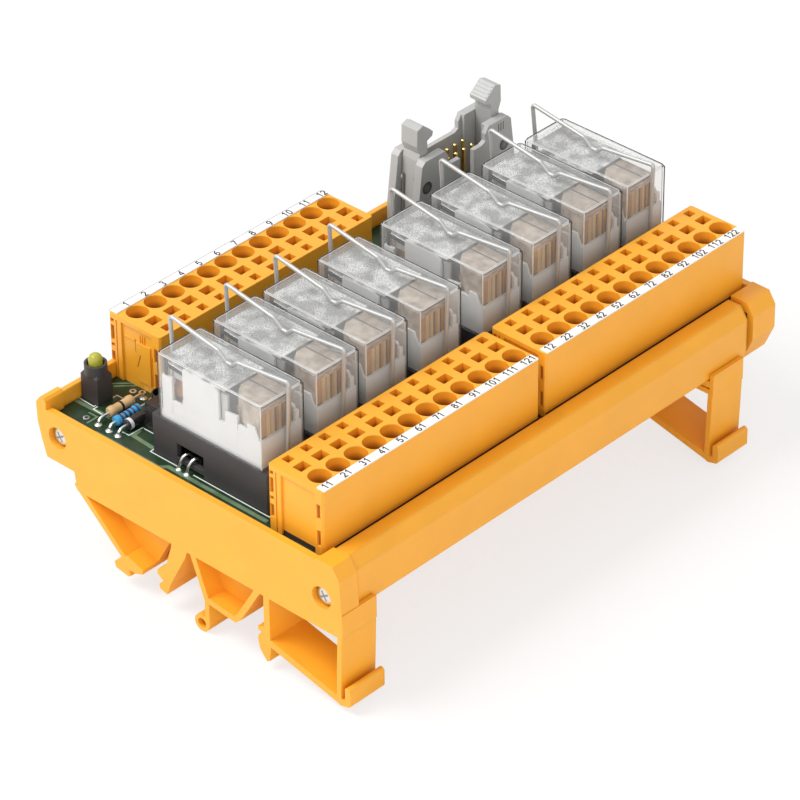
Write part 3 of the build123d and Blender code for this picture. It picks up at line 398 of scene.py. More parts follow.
class Shapes:
    """Simple shapes gathered into one mesh, in millimetres from an origin."""

    def __init__(self):
        self.mesh = bmesh.new()
        self.origin = Vector()

    def move_to(self, origin):
        self.origin = Vector(origin)

    def point(self, x, y, z):
        return self.mesh.verts.new((self.origin + Vector((x, y, z))) * MM)

    def face(self, verts, slot=0):
        self.mesh.faces.new(verts).material_index = slot

    def skin(self, rings, slot=0, closed=False):
        """Faces from each ring to the next, round to the first if closed and with capped ends if not."""
        count, sides = len(rings), len(rings[0])
        for i in range(count if closed else count - 1):
            lower, upper = rings[i], rings[(i + 1) % count]
            for k in range(sides):
                j = (k + 1) % sides
                self.face([lower[k], lower[j], upper[j], upper[k]], slot)
        if not closed:
            self.face(rings[0][::-1], slot)
            self.face(rings[-1], slot)

    def prism(self, outline, axis, start, end, slot=0):
        """An outline drawn across an axis and pushed along it from start to end."""
        def place(u, v, w):
            return {"x": (w, u, v), "y": (u, w, v), "z": (u, v, w)}[axis]
        low = [self.point(*place(u, v, start)) for u, v in outline]
        high = [self.point(*place(u, v, end)) for u, v in outline]
        self.face(low, slot)
        self.face(high[::-1], slot)
        for i in range(len(outline)):
            j = (i + 1) % len(outline)
            self.face([low[j], low[i], high[i], high[j]], slot)

    def block(self, low, high, slot=0):
        (x0, y0, z0), (x1, y1, z1) = low, high
        self.prism([(x0, y0), (x1, y0), (x1, y1), (x0, y1)], "z", z0, z1, slot)

    def lathe(self, profile, centre, axis="z", sides=32, slot=0):
        """A profile of (radius, height) points turned about an axis through centre."""
        cx, cy, cz = centre
        rings = []
        for radius, height in profile:
            ring = []
            for i in range(sides):
                a = 2 * math.pi * i / sides
                u, v = radius * math.cos(a), radius * math.sin(a)
                spot = {"z": (cx + u, cy + v, cz + height), "y": (cx + u, cy + height, cz + v),
                        "x": (cx + height, cy + u, cz + v)}[axis]
                ring.append(self.point(*spot))
            rings.append(ring)
        self.skin(rings, slot)

    def wire(self, points, radius, sides=12):
        """A round wire through points, with mitred bends."""
        spots = [Vector(p) for p in points]
        rings = []
        side = None
        for i, spot in enumerate(spots):
            before, after, along, stretch = mitre(spots, i, closed=False, sharpest=0.4)
            if side is None:
                helper = Vector((0, 0, 1)) if abs(along.z) < 0.9 else Vector((1, 0, 0))
                side = along.cross(helper).normalized()
            side = (side - along * side.dot(along)).normalized()
            other = along.cross(side)
            bend = (after - before) if before is not None and after is not None else Vector()
            bend = bend.normalized() if bend.length > 1e-6 else Vector()
            ring = []
            for k in range(sides):
                a = 2 * math.pi * k / sides
                reach = (side * math.cos(a) + other * math.sin(a)) * radius
                reach += bend * reach.dot(bend) * (stretch - 1)
                ring.append(self.point(*(spot + reach)))
            rings.append(ring)
        self.skin(rings)

    def ribbon(self, points, width, low, high, closed=False):
        """A flat line of even width through plan points, with mitred bends, from one height to another."""
        spots = [Vector(p) for p in points]
        rings = []
        for i, spot in enumerate(spots):
            _, _, along, stretch = mitre(spots, i, closed, sharpest=0.35)
            across = Vector((-along.y, along.x))
            left, right = spot + across * width / 2 * stretch, spot - across * width / 2 * stretch
            rings.append([self.point(left.x, left.y, low), self.point(right.x, right.y, low),
                          self.point(right.x, right.y, high), self.point(left.x, left.y, high)])
        self.skin(rings, closed=closed)

    def lining(self, top, bottom):
        """A thin open sleeve between two loops, closed at its bottom."""
        high = [self.point(*p) for p in top]
        low = [self.point(*p) for p in bottom]
        for i in range(len(high)):
            j = (i + 1) % len(high)
            self.face([high[i], high[j], low[j], low[i]])
        self.face(low)

    def finish(self, name, materials, slot, body=BODY, bevel_mm=0.0):
        """Makes the object, rounds its edges and hands it to its body."""
        bmesh.ops.recalc_face_normals(self.mesh, faces=self.mesh.faces)
        data = bpy.data.meshes.new(name)
        self.mesh.to_mesh(data)
        self.mesh.free()
        piece = bpy.data.objects.new(name, data)
        bpy.context.scene.collection.objects.link(piece)
        for material in materials:
            data.materials.append(material)
        if bevel_mm:
            bevel = piece.modifiers.new("edges", "BEVEL")
            bevel.width = bevel_mm * MM
            bevel.segments = 2
            bevel.limit_method = "ANGLE"
        data.shade_smooth()
        data.set_sharp_from_angle(angle=math.radians(SHARP_DEGREES))
        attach(piece, body)
        return piece


def box_mm(node):
    low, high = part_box(node)
    return low / MM, high / MM


def arc(cx, cy, rx, ry, start, end, steps=10):
    """Points along part of an ellipse, with its angles in degrees."""
    angles = [math.radians(start + (end - start) * i / steps) for i in range(steps + 1)]
    return [(cx + rx * math.cos(a), cy + ry * math.sin(a)) for a in angles]


def ring(cx, cy, rx, ry):
    """A whole ellipse, whose last point lies one step before its first."""
    return arc(cx, cy, rx, ry, 0, 342, 19)


def digit_strokes(digit):
    """A digit as strokes, in a cell DIGIT_WIDTH wide and 1 high. Each is its points and whether it closes."""
    six = [(ring(0.28, 0.3, 0.23, 0.25), True), (arc(0.5, 0.36, 0.45, 0.6, 178, 100), False)]
    return {
        "0": [(ring(0.28, 0.5, 0.23, 0.46), True)],
        "1": [([(0.08, 0.74), (0.34, 0.94), (0.34, 0.02)], False)],
        "2": [(arc(0.28, 0.7, 0.23, 0.24, 170, -30) + [(0.06, 0.06), (0.54, 0.06)], False)],
        "3": [(arc(0.26, 0.73, 0.2, 0.21, 150, -80), False), (arc(0.26, 0.28, 0.24, 0.24, 85, -150), False)],
        "4": [([(0.42, 0.02), (0.42, 0.94), (0.03, 0.3)], False), ([(0.0, 0.28), (0.58, 0.28)], False)],
        "5": [([(0.5, 0.93), (0.13, 0.93), (0.08, 0.52)] + arc(0.27, 0.33, 0.24, 0.27, 125, -150), False)],
        "6": six,
        "7": [([(0.03, 0.93), (0.52, 0.93), (0.2, 0.02)], False)],
        "8": [(ring(0.28, 0.74, 0.18, 0.19), True), (ring(0.28, 0.29, 0.23, 0.24), True)],
        "9": [([(DIGIT_WIDTH - x, 1 - y) for x, y in points], closed) for points, closed in six],
    }[digit]


def add_markers():
    """Plain terminal numbers on each block's strip, read along Y, and the input strip's dark outer edge."""
    # Block, side, middle of the first number, pitch, and the numbers' step and offset
    rows = (
        (OUTPUT_BLOCKS[0], 1, -60.05, 5.25, 10, 1),
        (OUTPUT_BLOCKS[1], 1, 4.2, 5.17, 10, 2),
        (INPUT_BLOCK, -1, -41.9, 5.21, 1, 0),
    )
    height, advance, stroke, lift, layer = 1.72, 1.25, 0.29, 0.012, 0.004
    output_inset, input_inset = 1.02, 1.12
    strip_top = box_mm("marker_strips")[1].z
    numbers = Shapes()
    for node, side, first, pitch, step, offset in rows:
        low, high = box_mm(node)
        middle_x = (high.x - output_inset) if side > 0 else (low.x + input_inset)
        for i in range(1, POLES + 1):
            text = str(step * i + offset)
            length = len(text) * advance - (advance - DIGIT_WIDTH * height)
            start = first + pitch * (i - 1) - length / 2
            for place, digit in enumerate(text):
                y = start + place * advance
                for n, (points, closed) in enumerate(digit_strokes(digit)):
                    spots = [(middle_x - (v - 0.5) * height, y + u * height) for u, v in points]
                    numbers.ribbon(spots, stroke, strip_top, strip_top + lift + layer * n, closed)
    numbers.finish("terminal_numbers", [ink], "marker_white")
    low, high = box_mm(INPUT_BLOCK)
    end_inset, width, drop = 0.4, 0.1, 0.3
    edge = Shapes()
    edge.block((low.x, low.y + end_inset, strip_top - drop),
               (low.x + width, high.y - end_inset, strip_top + 0.01))
    edge.finish("marker_strip_edge", [shadow_grey], "marker_white")


def add_hole_linings():
    """Sleeves with painted shade in the wire funnels, the screwdriver slots and the test holes."""
    pitch, near_wall, inset, sides = 5.08, 1.32, 0.03, 32
    funnel = ((0.25, 2.375), (5.4, 1.86))
    round_inset, slot_share, square_share = 4.5, 0.622, 0.874
    slot_half_x, slot_half_y, slot_drop = 1.2, 1.475, 5.9
    square_half, square_drop, mouth_drop = 0.975, 4.9, 0.2
    turns = [2 * math.pi * k / sides for k in range(sides)]
    shapes = Shapes()
    for node in BLOCKS:
        low, high = box_mm(node)
        width = high.x - low.x
        outer, inward = (low.x, 1) if node == INPUT_BLOCK else (high.x, -1)
        x_round = outer + inward * round_inset
        x_slot = outer + inward * slot_share * width
        x_square = outer + inward * square_share * width
        for i in range(POLES):
            y = low.y + near_wall + pitch * (i + 0.5)
            loops = []
            for drop, radius in funnel:
                r = radius - inset
                loops.append([(x_round + r * math.cos(a), y + r * math.sin(a), high.z - drop) for a in turns])
            shapes.lining(*loops)
            for x, half_x, half_y, bottom in ((x_slot, slot_half_x, slot_half_y, slot_drop),
                                              (x_square, square_half, square_half, square_drop)):
                a, b = half_x - inset, half_y - inset
                corners = ((-a, -b), (a, -b), (a, b), (-a, b))
                loops = [[(x + u, y + v, high.z - drop) for u, v in corners] for drop in (mouth_drop, bottom)]
                shapes.lining(*loops)
    shapes.finish("hole_linings", [hole_shade_orange], "orange_plastic")


def add_gap_strips():
    """Painted shadow: dark strips in the gaps along the foot of the output blocks and under the panels at
    their ends.
    """
    lip_top, gap_width, proud, thick, panel_gap = 33.8, 1.3, 0.12, 0.07, 1.0
    strips = Shapes()
    for node in OUTPUT_BLOCKS:
        low, high = box_mm(node)
        bottom, top = lip_top - gap_width - 0.7, lip_top - gap_width + 0.05
        strips.block((high.x, low.y, bottom), (high.x + proud, high.y, top))
        for left, right, y in ((3.5, 2.3, low.y + 0.4), (2.3, 3.5, high.y - 0.47)):
            strips.block((low.x + left, y, low.z), (high.x - right, y + thick, low.z + panel_gap))
    # The strips are painted shadow, kept in the dark plastic slot.
    strips.finish("gap_strips", [gap_shadow], "dark_plastic")


def add_input_end_relief():
    """The raised forms on the near end of the input block."""
    low, _ = box_mm(INPUT_BLOCK)
    front, back = low.y + 0.2, low.y + 0.5
    island = [(7.6, 11.3), (11.6, 11.3), (11.6, 1.9), (7.9, 1.9), (7.9, 4.9), (9.0, 8.4), (7.6, 8.4)]
    relief = Shapes()
    relief.prism([(low.x + x, low.z + z) for x, z in island], "y", low.y + 0.08, back)
    for x in (8.5, 9.1, 9.7):
        relief.block((low.x + x, front, low.z + 11.4), (low.x + x + 0.25, back, low.z + 13.2))
    relief.block((low.x + 4.2, front, low.z + 11.2), (low.x + 7.0, back, low.z + 11.5))
    relief.finish("input_end_relief", [orange], "orange_plastic", bevel_mm=0.05)


def add_block_end_slots():
    """Flat plates with painted shade for the openings in both ends of each block, and painted shadows beside
    the input block's raised forms.
    """
    inner_levels = ((13.2, 14.1), (8.9, 12.5), (7.3, 8.1), (3.2, 6.2))
    outer_levels = ((8.7, 12.0), (2.2, 5.9))
    inner_inset, outer_inset, half_width, rim, thick = 1, 1.3, 0.47, 0.03, 0.03
    slots = Shapes()
    for node in BLOCKS:
        low, high = box_mm(node)
        for first, last, step, y in ((low.x, high.x, 1, low.y + 0.43), (high.x, low.x, -1, high.y - 0.46)):
            inner, outer = first + step * inner_inset, last - step * outer_inset
            for levels, x in ((inner_levels, inner), (outer_levels, outer)):
                for z_low, z_high in levels:
                    slots.block((x - half_width, y, low.z + z_low + rim),
                                (x + half_width, y + thick, low.z + z_high - rim))
    low, _ = box_mm(INPUT_BLOCK)
    near, far = low.y + 0.4, low.y + 0.47
    shadows = ((7.05, 8.5, 7.5, 11.3), (12.25, 11.6, 12.95, 13.3), (11.9, 2.1, 12.3, 8.9))
    for left, bottom, right, top in shadows:
        slots.block((low.x + left, near, low.z + bottom), (low.x + right, far, low.z + top))
    slanted = [(8.9, 8.4), (8.45, 8.4), (7.35, 4.9), (7.85, 4.9)]
    slots.prism([(low.x + x, low.z + z) for x, z in slanted], "y", near, far)
    slots.finish("block_end_slots", [slot_shade], "orange_plastic")


def add_screws():
    """Cross-head screws at the bottom of the end plates' recesses."""
    low, high = box_mm("end_plate_screws")
    places = ((low.x + 2.25, 28.0), (high.x - 2.25, 25.2))
    head_height, proud, cross_depth, cross_rim = 1.3, 0.7, 0.45, 0.015
    shank_radius, shank_length = 1.1, 8.0
    dome = [(1.3, 0), (2.2, 0), (2.2, 1.35), (2.05, 1.65), (1.7, 1.88), (1.25, 1.98)]
    half, arm, turn = 0.2, 1.2, math.radians(32)
    plus = [(-half, -arm), (half, -arm), (half, -half), (arm, -half), (arm, half), (half, half),
            (half, arm), (-half, arm), (-half, half), (-arm, half), (-arm, -half), (-half, -half)]
    c, s = math.cos(turn), math.sin(turn)
    turned = [(u * c - v * s, u * s + v * c) for u, v in plus]
    shapes = Shapes()
    for face_y, outward in ((low.y, -1), (high.y, 1)):
        for x, z in places:
            profile = [(r, outward * (h - head_height)) for r, h in dome] + [(0.9, outward * proud)]
            shapes.lathe(profile, (x, face_y, z), axis="y", sides=40)
            rim_y, floor_y = face_y + outward * (proud + cross_rim), face_y + outward * (proud - cross_depth)
            outline = [(x + u, z + v) for u, v in turned]
            shapes.prism(outline, "y", *sorted((rim_y, floor_y)), slot=1)
            shank = [(shank_radius, -outward * head_height), (shank_radius, -outward * shank_length)]
            shapes.lathe(shank, (x, face_y, z), axis="y", sides=24)
    recess = moulded("cross_recess_shadow", (0.2, 0.21, 0.22), roughness=0.45)
    piece = shapes.finish("screws", [steel, recess], "steel", bevel_mm=0.03)
    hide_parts("end_plate_screws")


def each_relay(*groups):
    """Moves groups of shapes to each relay: the left end of its cover, at its middle and lowest level."""
    for n in RELAYS:
        low, high = box_mm(f"relay_{n}_cover")
        for shapes in groups:
            shapes.move_to((low.x, (low.y + high.y) / 2, low.z))
        yield n


def add_relay_frames():
    """White side walls on the relays' bases, the recesses in them coloured grey as painted shade, and the
    frosted cards on top.
    """
    outside, wall_thickness = 5.62, 0.7
    walls = (
        [(1.0, 1.8), (3.8, 1.8), (3.8, 10.3), (3.2, 10.3), (1.0, 10.3)],
        [(3.8, 1.8), (6.8, 1.8), (6.8, 5.1), (3.8, 5.1)],
        [(6.8, 1.8), (16.75, 1.8), (16.75, 12.9), (15.6, 13.8), (6.8, 13.8)],
        [(16.9, 1.8), (21.85, 1.8), (21.85, 9.6), (18.5, 9.2), (18.5, 6.3), (16.9, 6.3)],
        [(22.0, 1.8), (28.2, 1.8), (28.2, 5.5), (26.6, 9.2), (24.5, 9.2), (24.5, 7.8), (22.0, 7.8)],
    )
    posts = (
        ((13.9, -4.9, 1.8), (14.7, 4.9, 11.0)),
        ((27.3, 4.2, 5.0), (28.2, 5.2, 8.8)),
        ((27.4, 0.9, 4.6), (28.2, 1.7, 6.2)),
    )
    recess_out, recess_in = 4.9, 4.3
    card = [(1.2, -4.3), (7.2, -4.3), (7.2, -5.5), (18.4, -5.5), (18.4, 5.5), (1.2, 5.5)]
    card_low, card_high = 13.75, 13.95
    mounds = ((9.6, -1.6, 1.9), (12.2, 1.8, 1.5), (6.0, 1.4, 1.7))
    frames, recesses, cards = Shapes(), Shapes(), Shapes()
    for _ in each_relay(frames, recesses, cards):
        for wall in walls:
            for side in (-1, 1):
                frames.prism(wall, "y", *sorted((side * outside, side * (outside - wall_thickness))))
        for low, high in posts:
            frames.block(low, high)
        for side in (-1, 1):
            # The recesses are grey panels set back from the white walls: painted shade.
            near, far = sorted((side * recess_out, side * recess_in))
            recesses.block((16.9, near, 6.0), (18.6, far, 12.7))
            recesses.block((3.8, near, 10.3), (6.8, far, 12.9))
        cards.prism(card, "z", card_low, card_high)
        for x, y, r in mounds:
            cards.lathe([(r, 13.9), (r * 0.85, 14.2), (r * 0.4, 14.35)], (x, y, 0), sides=28)
    frames.finish("relay_frames", [pale], "pale_plastic", bevel_mm=0.1)
    recesses.finish("frame_recess_shade", [grey], "pale_plastic")
    cards.finish("insulation_cards", [frosted], "pale_plastic", bevel_mm=0.05)


def add_coils():
    """The coils on their bobbins, the yokes over them and the iron cores."""
    axis_z, start, end, flange, radius, core_radius = 6.5, 2.65, 14.8, 0.2, 4.4, 1.6
    flange_half, flange_low, flange_high, yoke_half = 4.6, 1.8, 10.9, 3.8
    x0, x1 = start + flange, end - flange
    turns = [(radius - 0.25, x0), (radius, x0 + 0.4), (radius + 0.05, (x0 + x1) / 2), (radius, x1 - 0.4),
             (radius - 0.25, x1)]
    yoke = [(1.5, 1.8), (2.6, 1.8), (2.6, 11.0), (15.8, 11.0), (15.8, 12.1), (2.3, 12.1), (1.5, 11.3)]
    windings, bobbins, irons = Shapes(), Shapes(), Shapes()
    for _ in each_relay(windings, bobbins, irons):
        windings.lathe(turns, (0, 0, axis_z), axis="x", sides=48)
        for x in (start, end - flange):
            bobbins.block((x, -flange_half, flange_low), (x + flange, flange_half, flange_high))
        irons.lathe([(core_radius, end - 0.2), (core_radius, end + 0.3)], (0, 0, axis_z), axis="x")
        irons.prism(yoke, "y", -yoke_half, yoke_half)
    windings.finish("coil_windings", [copper], "copper")
    bobbins.finish("coil_bobbins", [pale], "pale_plastic", bevel_mm=0.1)
    piece = irons.finish("yokes_and_cores", [dull_steel], "steel", bevel_mm=0.12)
    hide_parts("relay_magnets")


def add_contact_chambers():
    """Brown chambers with dark seams and a ribbed end, and the contacts and return springs of each relay."""
    top, floor, end, near, far, left, seam_y = 13.7, 5.5, 27.5, -5.3, 3.7, 18.8, 1.0
    outline = [(left, -1.3), (20.4, -3.7), (24.0, near), (end, near), (end, far), (left, far)]
    rib_top, cap_top = 12.3, 13.4
    ribs = (
        (-5.3, -5.0, 2, 0.12), (-5.0, -3.3, 1, 0.08), (-3.3, -2.4, 2, 0.16), (-2.4, -2.0, 1, 0.05),
        (-2.0, -1.2, 2, 0.2), (-1.2, -0.9, 1, 0.06), (-0.6, 0.1, 1, 0.14), (0.1, 0.8, 2, 0.18),
        (1.2, 2.3, 1, 0.1), (2.6, 3.5, 2, 0.15),
    )
    upright_seams = ((-5.0, -3.4, 6.6), (-0.9, -0.6, 12.3), (0.8, 1.2, 12.3), (2.3, 2.6, 12.0),
                     (-2.2, -1.0, 6.2))
    level_seams = ((-4.6, -2.9, 12.75), (-2.4, -0.7, 12.95), (-0.2, 0.9, 12.6), (1.3, 3.3, 12.9))
    strip = [(8.2, 12.5), (15.4, 12.5), (15.4, 12.3), (8.2, 12.3)]
    blade_half, blade_low, blade_high, button_radius, button_half, button_z = 0.2, 1.8, 10.0, 0.8, 0.5, 8.6
    hook = [(1.8, 14.4), (2.6, 14.4), (2.7, 13.7), (6.9, 13.3), (6.9, 12.9), (3.0, 13.2), (3.0, 12.9),
            (6.8, 12.6), (6.8, 12.2), (2.6, 12.6), (2.5, 10.5), (1.8, 10.5)]
    # A thin bright tin strip along the spring's upper arm: a painted highlight.
    bar = [(2.9, 13.75), (6.9, 13.4), (6.9, 13.3), (2.9, 13.65)]
    chambers, seams, springs, hooks = Shapes(), Shapes(), Shapes(), Shapes()
    for _ in each_relay(chambers, seams, springs, hooks):
        chambers.prism(outline, "z", floor, top)
        for y0, y1, slot, thick in ribs:
            chambers.block((end, y0, floor), (end + thick, y1, rib_top), slot)
        chambers.block((end, near, rib_top), (end + 0.3, far, cap_top))
        for y0, y1, z1 in upright_seams:
            seams.block((end, y0, floor), (end + 0.22, y1, z1))
        for y0, y1, z in level_seams:
            seams.block((end + 0.25, y0, z), (end + 0.33, y1, z + 0.14))
        seams.block((left - 0.25, -1.3, top - 0.5), (left + 0.1, far, top + 0.06))
        seams.block((left, seam_y - 0.17, top - 0.5), (end - 0.6, seam_y + 0.17, top + 0.07))
        seams.block((end - 0.6, 0.2, 12.9), (end + 0.05, seam_y + 0.1, top + 0.08))
        seams.block((end - 0.12, near + 0.2, top - 0.1), (end + 0.06, far, top + 0.03))
        for side in (-1, 1):
            springs.prism(strip, "y", *sorted((side * 1.3, side * 4.1)))
            for x in (19.6, 21.8, 24.0):
                low, high = sorted((side * 1.5, side * 3.4))
                springs.block((x - blade_half, low, blade_low), (x + blade_half, high, blade_high))
                button = [(button_radius, x - button_half), (button_radius, x + button_half)]
                springs.lathe(button, (0, side * 2.6, button_z), axis="x", sides=20)
        hooks.prism(hook, "y", -5.6, -5.25)
        # Painted highlight on the spring's upper edge.
        hooks.prism(bar, "y", -5.66, -5.3, slot=1)
    chambers.finish("contact_chambers", [chamber_top, amber, cream], "component_body", bevel_mm=0.08)
    seams.finish("chamber_seams", [seam_dark], "component_body")
    piece = springs.finish("contact_springs", [spring], "copper", bevel_mm=0.04)
    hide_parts("relay_contacts")
    hooks.finish("return_springs", [dark_steel, tin], "steel", bevel_mm=0.05)


def add_cover_edges():
    """Painted dark lines and painted highlights along each clear cover's rounded edges, standing in for its
    refraction and reflections, and its grained top.
    """
    length, half_width, height, step_degrees = 29.0, 6.3, 15.4, 22.5
    post_inset, glint_x, glint_y = 0.37, 0.32, 0.3
    grain_low, grain_high, margin = height - 0.72, height - 0.66, 1.0

    # Each corner says whether it is at the far end of X and of Y, and its first and last angle.
    far_and_left = ((1, 1, 0, 90), (0, 1, 90, 180), (0, 0, 180, 225))
    near_and_right = ((0, 0, 225, 270), (1, 0, 270, 360), (1, 1, 0, 5))
    whole = ((1, 1, 0, 90), (0, 1, 90, 180), (0, 0, 180, 270), (1, 0, 270, 360), (1, 1, 0, 22.5))

    def loop(inset, radius, z, corners):
        points = []
        for cx, cy, start, end in corners:
            x = length - inset - radius if cx else inset + radius
            y = half_width - inset - radius if cy else -half_width + inset + radius
            steps = max(1, round((end - start) / step_degrees))
            points += [(px, py, z) for px, py in arc(x, y, radius, radius, start, end, steps)]
        return points

    dark, light, grain = Shapes(), Shapes(), Shapes()
    for _ in each_relay(dark, light, grain):
        # Dark strips are painted refraction, light strips are painted highlights.
        dark.wire(loop(0.3, 0.9, height - 0.3, far_and_left), 0.15, sides=6)
        light.wire(loop(0.3, 0.9, height - 0.3, near_and_right), 0.12, sides=6)
        light.wire(loop(0.62, 0.6, height - 0.22, whole), 0.1, sides=6)
        dark.wire(loop(0.1, 1.1, 0.12, whole), 0.09, sides=6)
        for x in (post_inset, length - post_inset):
            for y in (-half_width + post_inset, half_width - post_inset):
                edge = light if x > 1 and y < 0 else dark
                edge.wire([(x, y, 0.1), (x, y, height - 0.4)], 0.13, sides=6)
                inner_x = x + (glint_x if x < 1 else -glint_x)
                inner_y = y + (glint_y if y < 0 else -glint_y)
                light.wire([(inner_x, inner_y, 0.3), (inner_x, inner_y, height - 0.5)], 0.1, sides=6)
        grain.block((margin, -half_width + margin, grain_low), (18.5, half_width - margin, grain_high))
        grain.block((18.9, 3.9, grain_low), (length - margin, half_width - margin, grain_high))
    dark.finish("cover_edge_painted_lines", [edge_painted_dark], "clear_cover")
    light.finish("cover_edge_glints", [edge_painted_highlight], "clear_cover")
    grain.finish("cover_grain", [cover_grain], "clear_cover")


def capsule(radius, length, bulge):
    """Half profile of an axial part: bulged ends and a slimmer waist, as (radius, place along it)."""
    half, neck = length / 2, radius * bulge
    bulb = [(0.3, 0), (radius * 0.72, 0), (radius * 0.95, 0.25), (radius, 0.65), (radius, 1.25), (neck, 1.6)]
    return [(r, y - half) for r, y in bulb] + [(r, half - y) for r, y in reversed(bulb)]


def add_board_parts():
    """Two resistors, a diode, a tube, a black block, solder pads and the bent leads at the first socket."""
    low, high = box_mm("supply_led")
    lamp_x = (low.x + high.x) / 2
    board_top = box_mm("circuit_board")[1].z
    wire_radius, gap, front_foot, end_length = 0.33, 0.1, -60.3, 1.5

    # Name, place beside the lamp, middle, radius, length, waist, rear lead's foot, materials and bands
    parts = (
        ("resistor_beige", 6.9, -54.0, 1.2, 6.6, 0.86, -47.6, [beige, band_black], [(0.0, 0.3)]),
        ("resistor_blue", 10.1, -55.2, 1.15, 6.8, 0.84, -48.4, [blue, band_dark],
         [(-2.1, 0.25), (-0.9, 0.25), (0.2, 0.3), (1.3, 0.2), (2.3, 0.2)]),
        ("diode", 12.7, -55.6, 1.2, 5.0, 1.0, -49.6, [diode_black, band_silver], [(-1.6, 0.4)]),
    )
    leads = Shapes()
    for name, dx, y, radius, length, bulge, rear_foot, materials, bands in parts:
        x, z = lamp_x + dx, board_top + gap + radius
        body = Shapes()
        body.lathe(capsule(radius, length, bulge), (x, y, z), axis="y", sides=40)
        for place, half_width in bands:
            near_end = abs(place) > length / 2 - end_length
            band = (radius if near_end else radius * bulge) + 0.02
            profile = [(band, place - half_width), (band, place + half_width)]
            body.lathe(profile, (x, y, z), axis="y", sides=40, slot=1)
        body.finish(name, materials, "component_body", bevel_mm=0.02)
        for side, foot in ((-1, front_foot), (1, rear_foot)):
            start = y + side * (length / 2 - 0.2)
            points = [(x, start, z), (x, foot - side * 1.3, z), (x, foot - side * 0.7, z - 0.12),
                      (x, foot - side * 0.25, z - 0.45), (x, foot, board_top + 0.4), (x, foot, board_top)]
            leads.wire(points, wire_radius)
            leads.lathe([(0.85, 0.0), (0.62, 0.12), (0.42, 0.4)], (x, foot, board_top), sides=20)
    face = box_mm("relay_1_socket")[0].y
    bends = ((1.0, 2.2, 0.2), (0.9, 1.9, 2.3), (0.8, 1.3, 3.0), (0.6, 0.6, 3.1), (0.35, 0.0, 2.7))
    for x, reach in ((-8.3, 0.75), (-5.9, 0.95)):
        path = bends + ((0.15, 0.3 - reach, 1.8), (0.0, -reach, 0.6), (0.0, -reach, 0.0))
        leads.wire([(x + u, face + v, board_top + w) for u, v, w in path], wire_radius * 0.87)
        leads.lathe([(0.8, 0.0), (0.6, 0.12), (0.4, 0.4)], (x, face - reach, board_top), sides=20)
    pads = ((-34.8, -47.3), (-35.0, -60.2), (-33.1, -46.3), (-29.8, -46.7))
    pad_radius, pad_height, pad_hole = 0.75, 0.05, 0.36
    for x, y in pads:
        pad = [(pad_radius, 0.0), (pad_radius, pad_height), (pad_hole, 0.06)]
        leads.lathe(pad, (x, y, board_top), sides=24)
    leads.finish("tinned_leads", [tin], "steel")
    dark = Shapes()
    for x, y in pads:
        dark.lathe([(pad_hole, 0.0), (pad_hole, 0.075)], (x, y, board_top), sides=20)
    cx, cy, tall, outer, wall = -25.9, -47.9, 4.15, 1.95, 0.35
    tube = [(outer, 0), (outer, tall - 0.15), (outer - 0.1, tall), (outer - wall, tall), (outer - wall, 1.2)]
    dark.lathe(tube, (cx, cy, board_top), sides=40)
    dark.lathe([(1.0, 1.2), (1.0, 3.4), (0.8, 3.7)], (cx + 0.4, cy, board_top), slot=1)
    block = [(-23.6, 31.45), (-17.2, 31.45), (-17.2, 37.5), (-17.5, 37.75), (-23.3, 37.75), (-23.6, 37.5)]
    dark.prism(block, "y", -54.6, -50.9)
    piece = dark.finish("board_dark_parts", [diode_black, teal], "component_body", bevel_mm=0.06)
    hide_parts("board_components")


def add_board_print():
    """White outlines and lighter traces on the board, as thin as ink and copper."""
    board_top = box_mm("circuit_board")[1].z
    ink_width, ink_height, copper_height, overlap_lift = 0.24, 0.02, 0.01, 0.004
    wide, thin = 1.0, 0.4
    lines, traces = Shapes(), Shapes()

    def outline(points, lift=0.0):
        lines.ribbon(points, ink_width, board_top, board_top + ink_height + lift)

    def trace(points, width):
        traces.ribbon(points, width, board_top, board_top + copper_height)

    outline([(-42.0, -56.3), (-36.7, -56.5), (-36.6, -51.2)])
    outline([(-33.4, -57.3), (-36.1, -57.2), (-36.1, -50.5), (-33.4, -50.5)], overlap_lift)
    outline([(-25.9, -58.9), (-24.1, -58.8), (-24.0, -54.9)])
    outline([(-23.6, -55.1), (-17.0, -55.1)])
    for n in RELAYS:
        low, high = box_mm(f"relay_{n}_socket")
        front = low.y - 0.35
        if n == 1:
            outline([(low.x - 0.3, low.y + 4.0), (low.x - 0.3, front), (-9.3, front)])
            outline([(-4.8, front), (high.x + 0.5, front), (high.x + 0.5, low.y + 3.0)])
        else:
            left, right = low.x - 0.5, high.x + 0.5
            outline([(left, high.y), (left, front), (right, front), (right, high.y)])
    trace([(-41.0, -57.3), (-36.2, -57.3), (-30.2, -56.9)], wide)
    trace([(-36.0, -58.6), (-33.5, -58.6), (-33.5, -61.5)], thin)
    trace([(-23.8, -56.0), (-23.4, -58.3), (-16.9, -58.7)], wide)
    trace([(-40.0, -48.3), (-36.4, -44.8), (-36.4, -36.0)], thin)
    trace([(-39.0, -48.7), (-35.5, -45.2), (-35.5, -36.0)], thin)
    trace([(-30.0, -62.6), (-12.0, -62.6), (-10.5, -61.2), (17.0, -61.2)], wide)
    trace([(2.0, -62.9), (8.0, -62.9)], wide)
    for y in (-40.0, -26.0, -10.0, 8.0, 23.0, 39.0):
        trace([(-24.5, y), (-19.6, y), (-18.4, y + 1.2), (-18.4, y + 6.0)], thin)
        trace([(-24.5, y + 1.4), (-21.0, y + 1.4), (-19.8, y + 2.6), (-19.8, y + 6.0)], thin)
    lines.finish("board_outlines", [silkscreen], "marker_white")
    traces.finish("board_traces", [trace_green], "board_green")


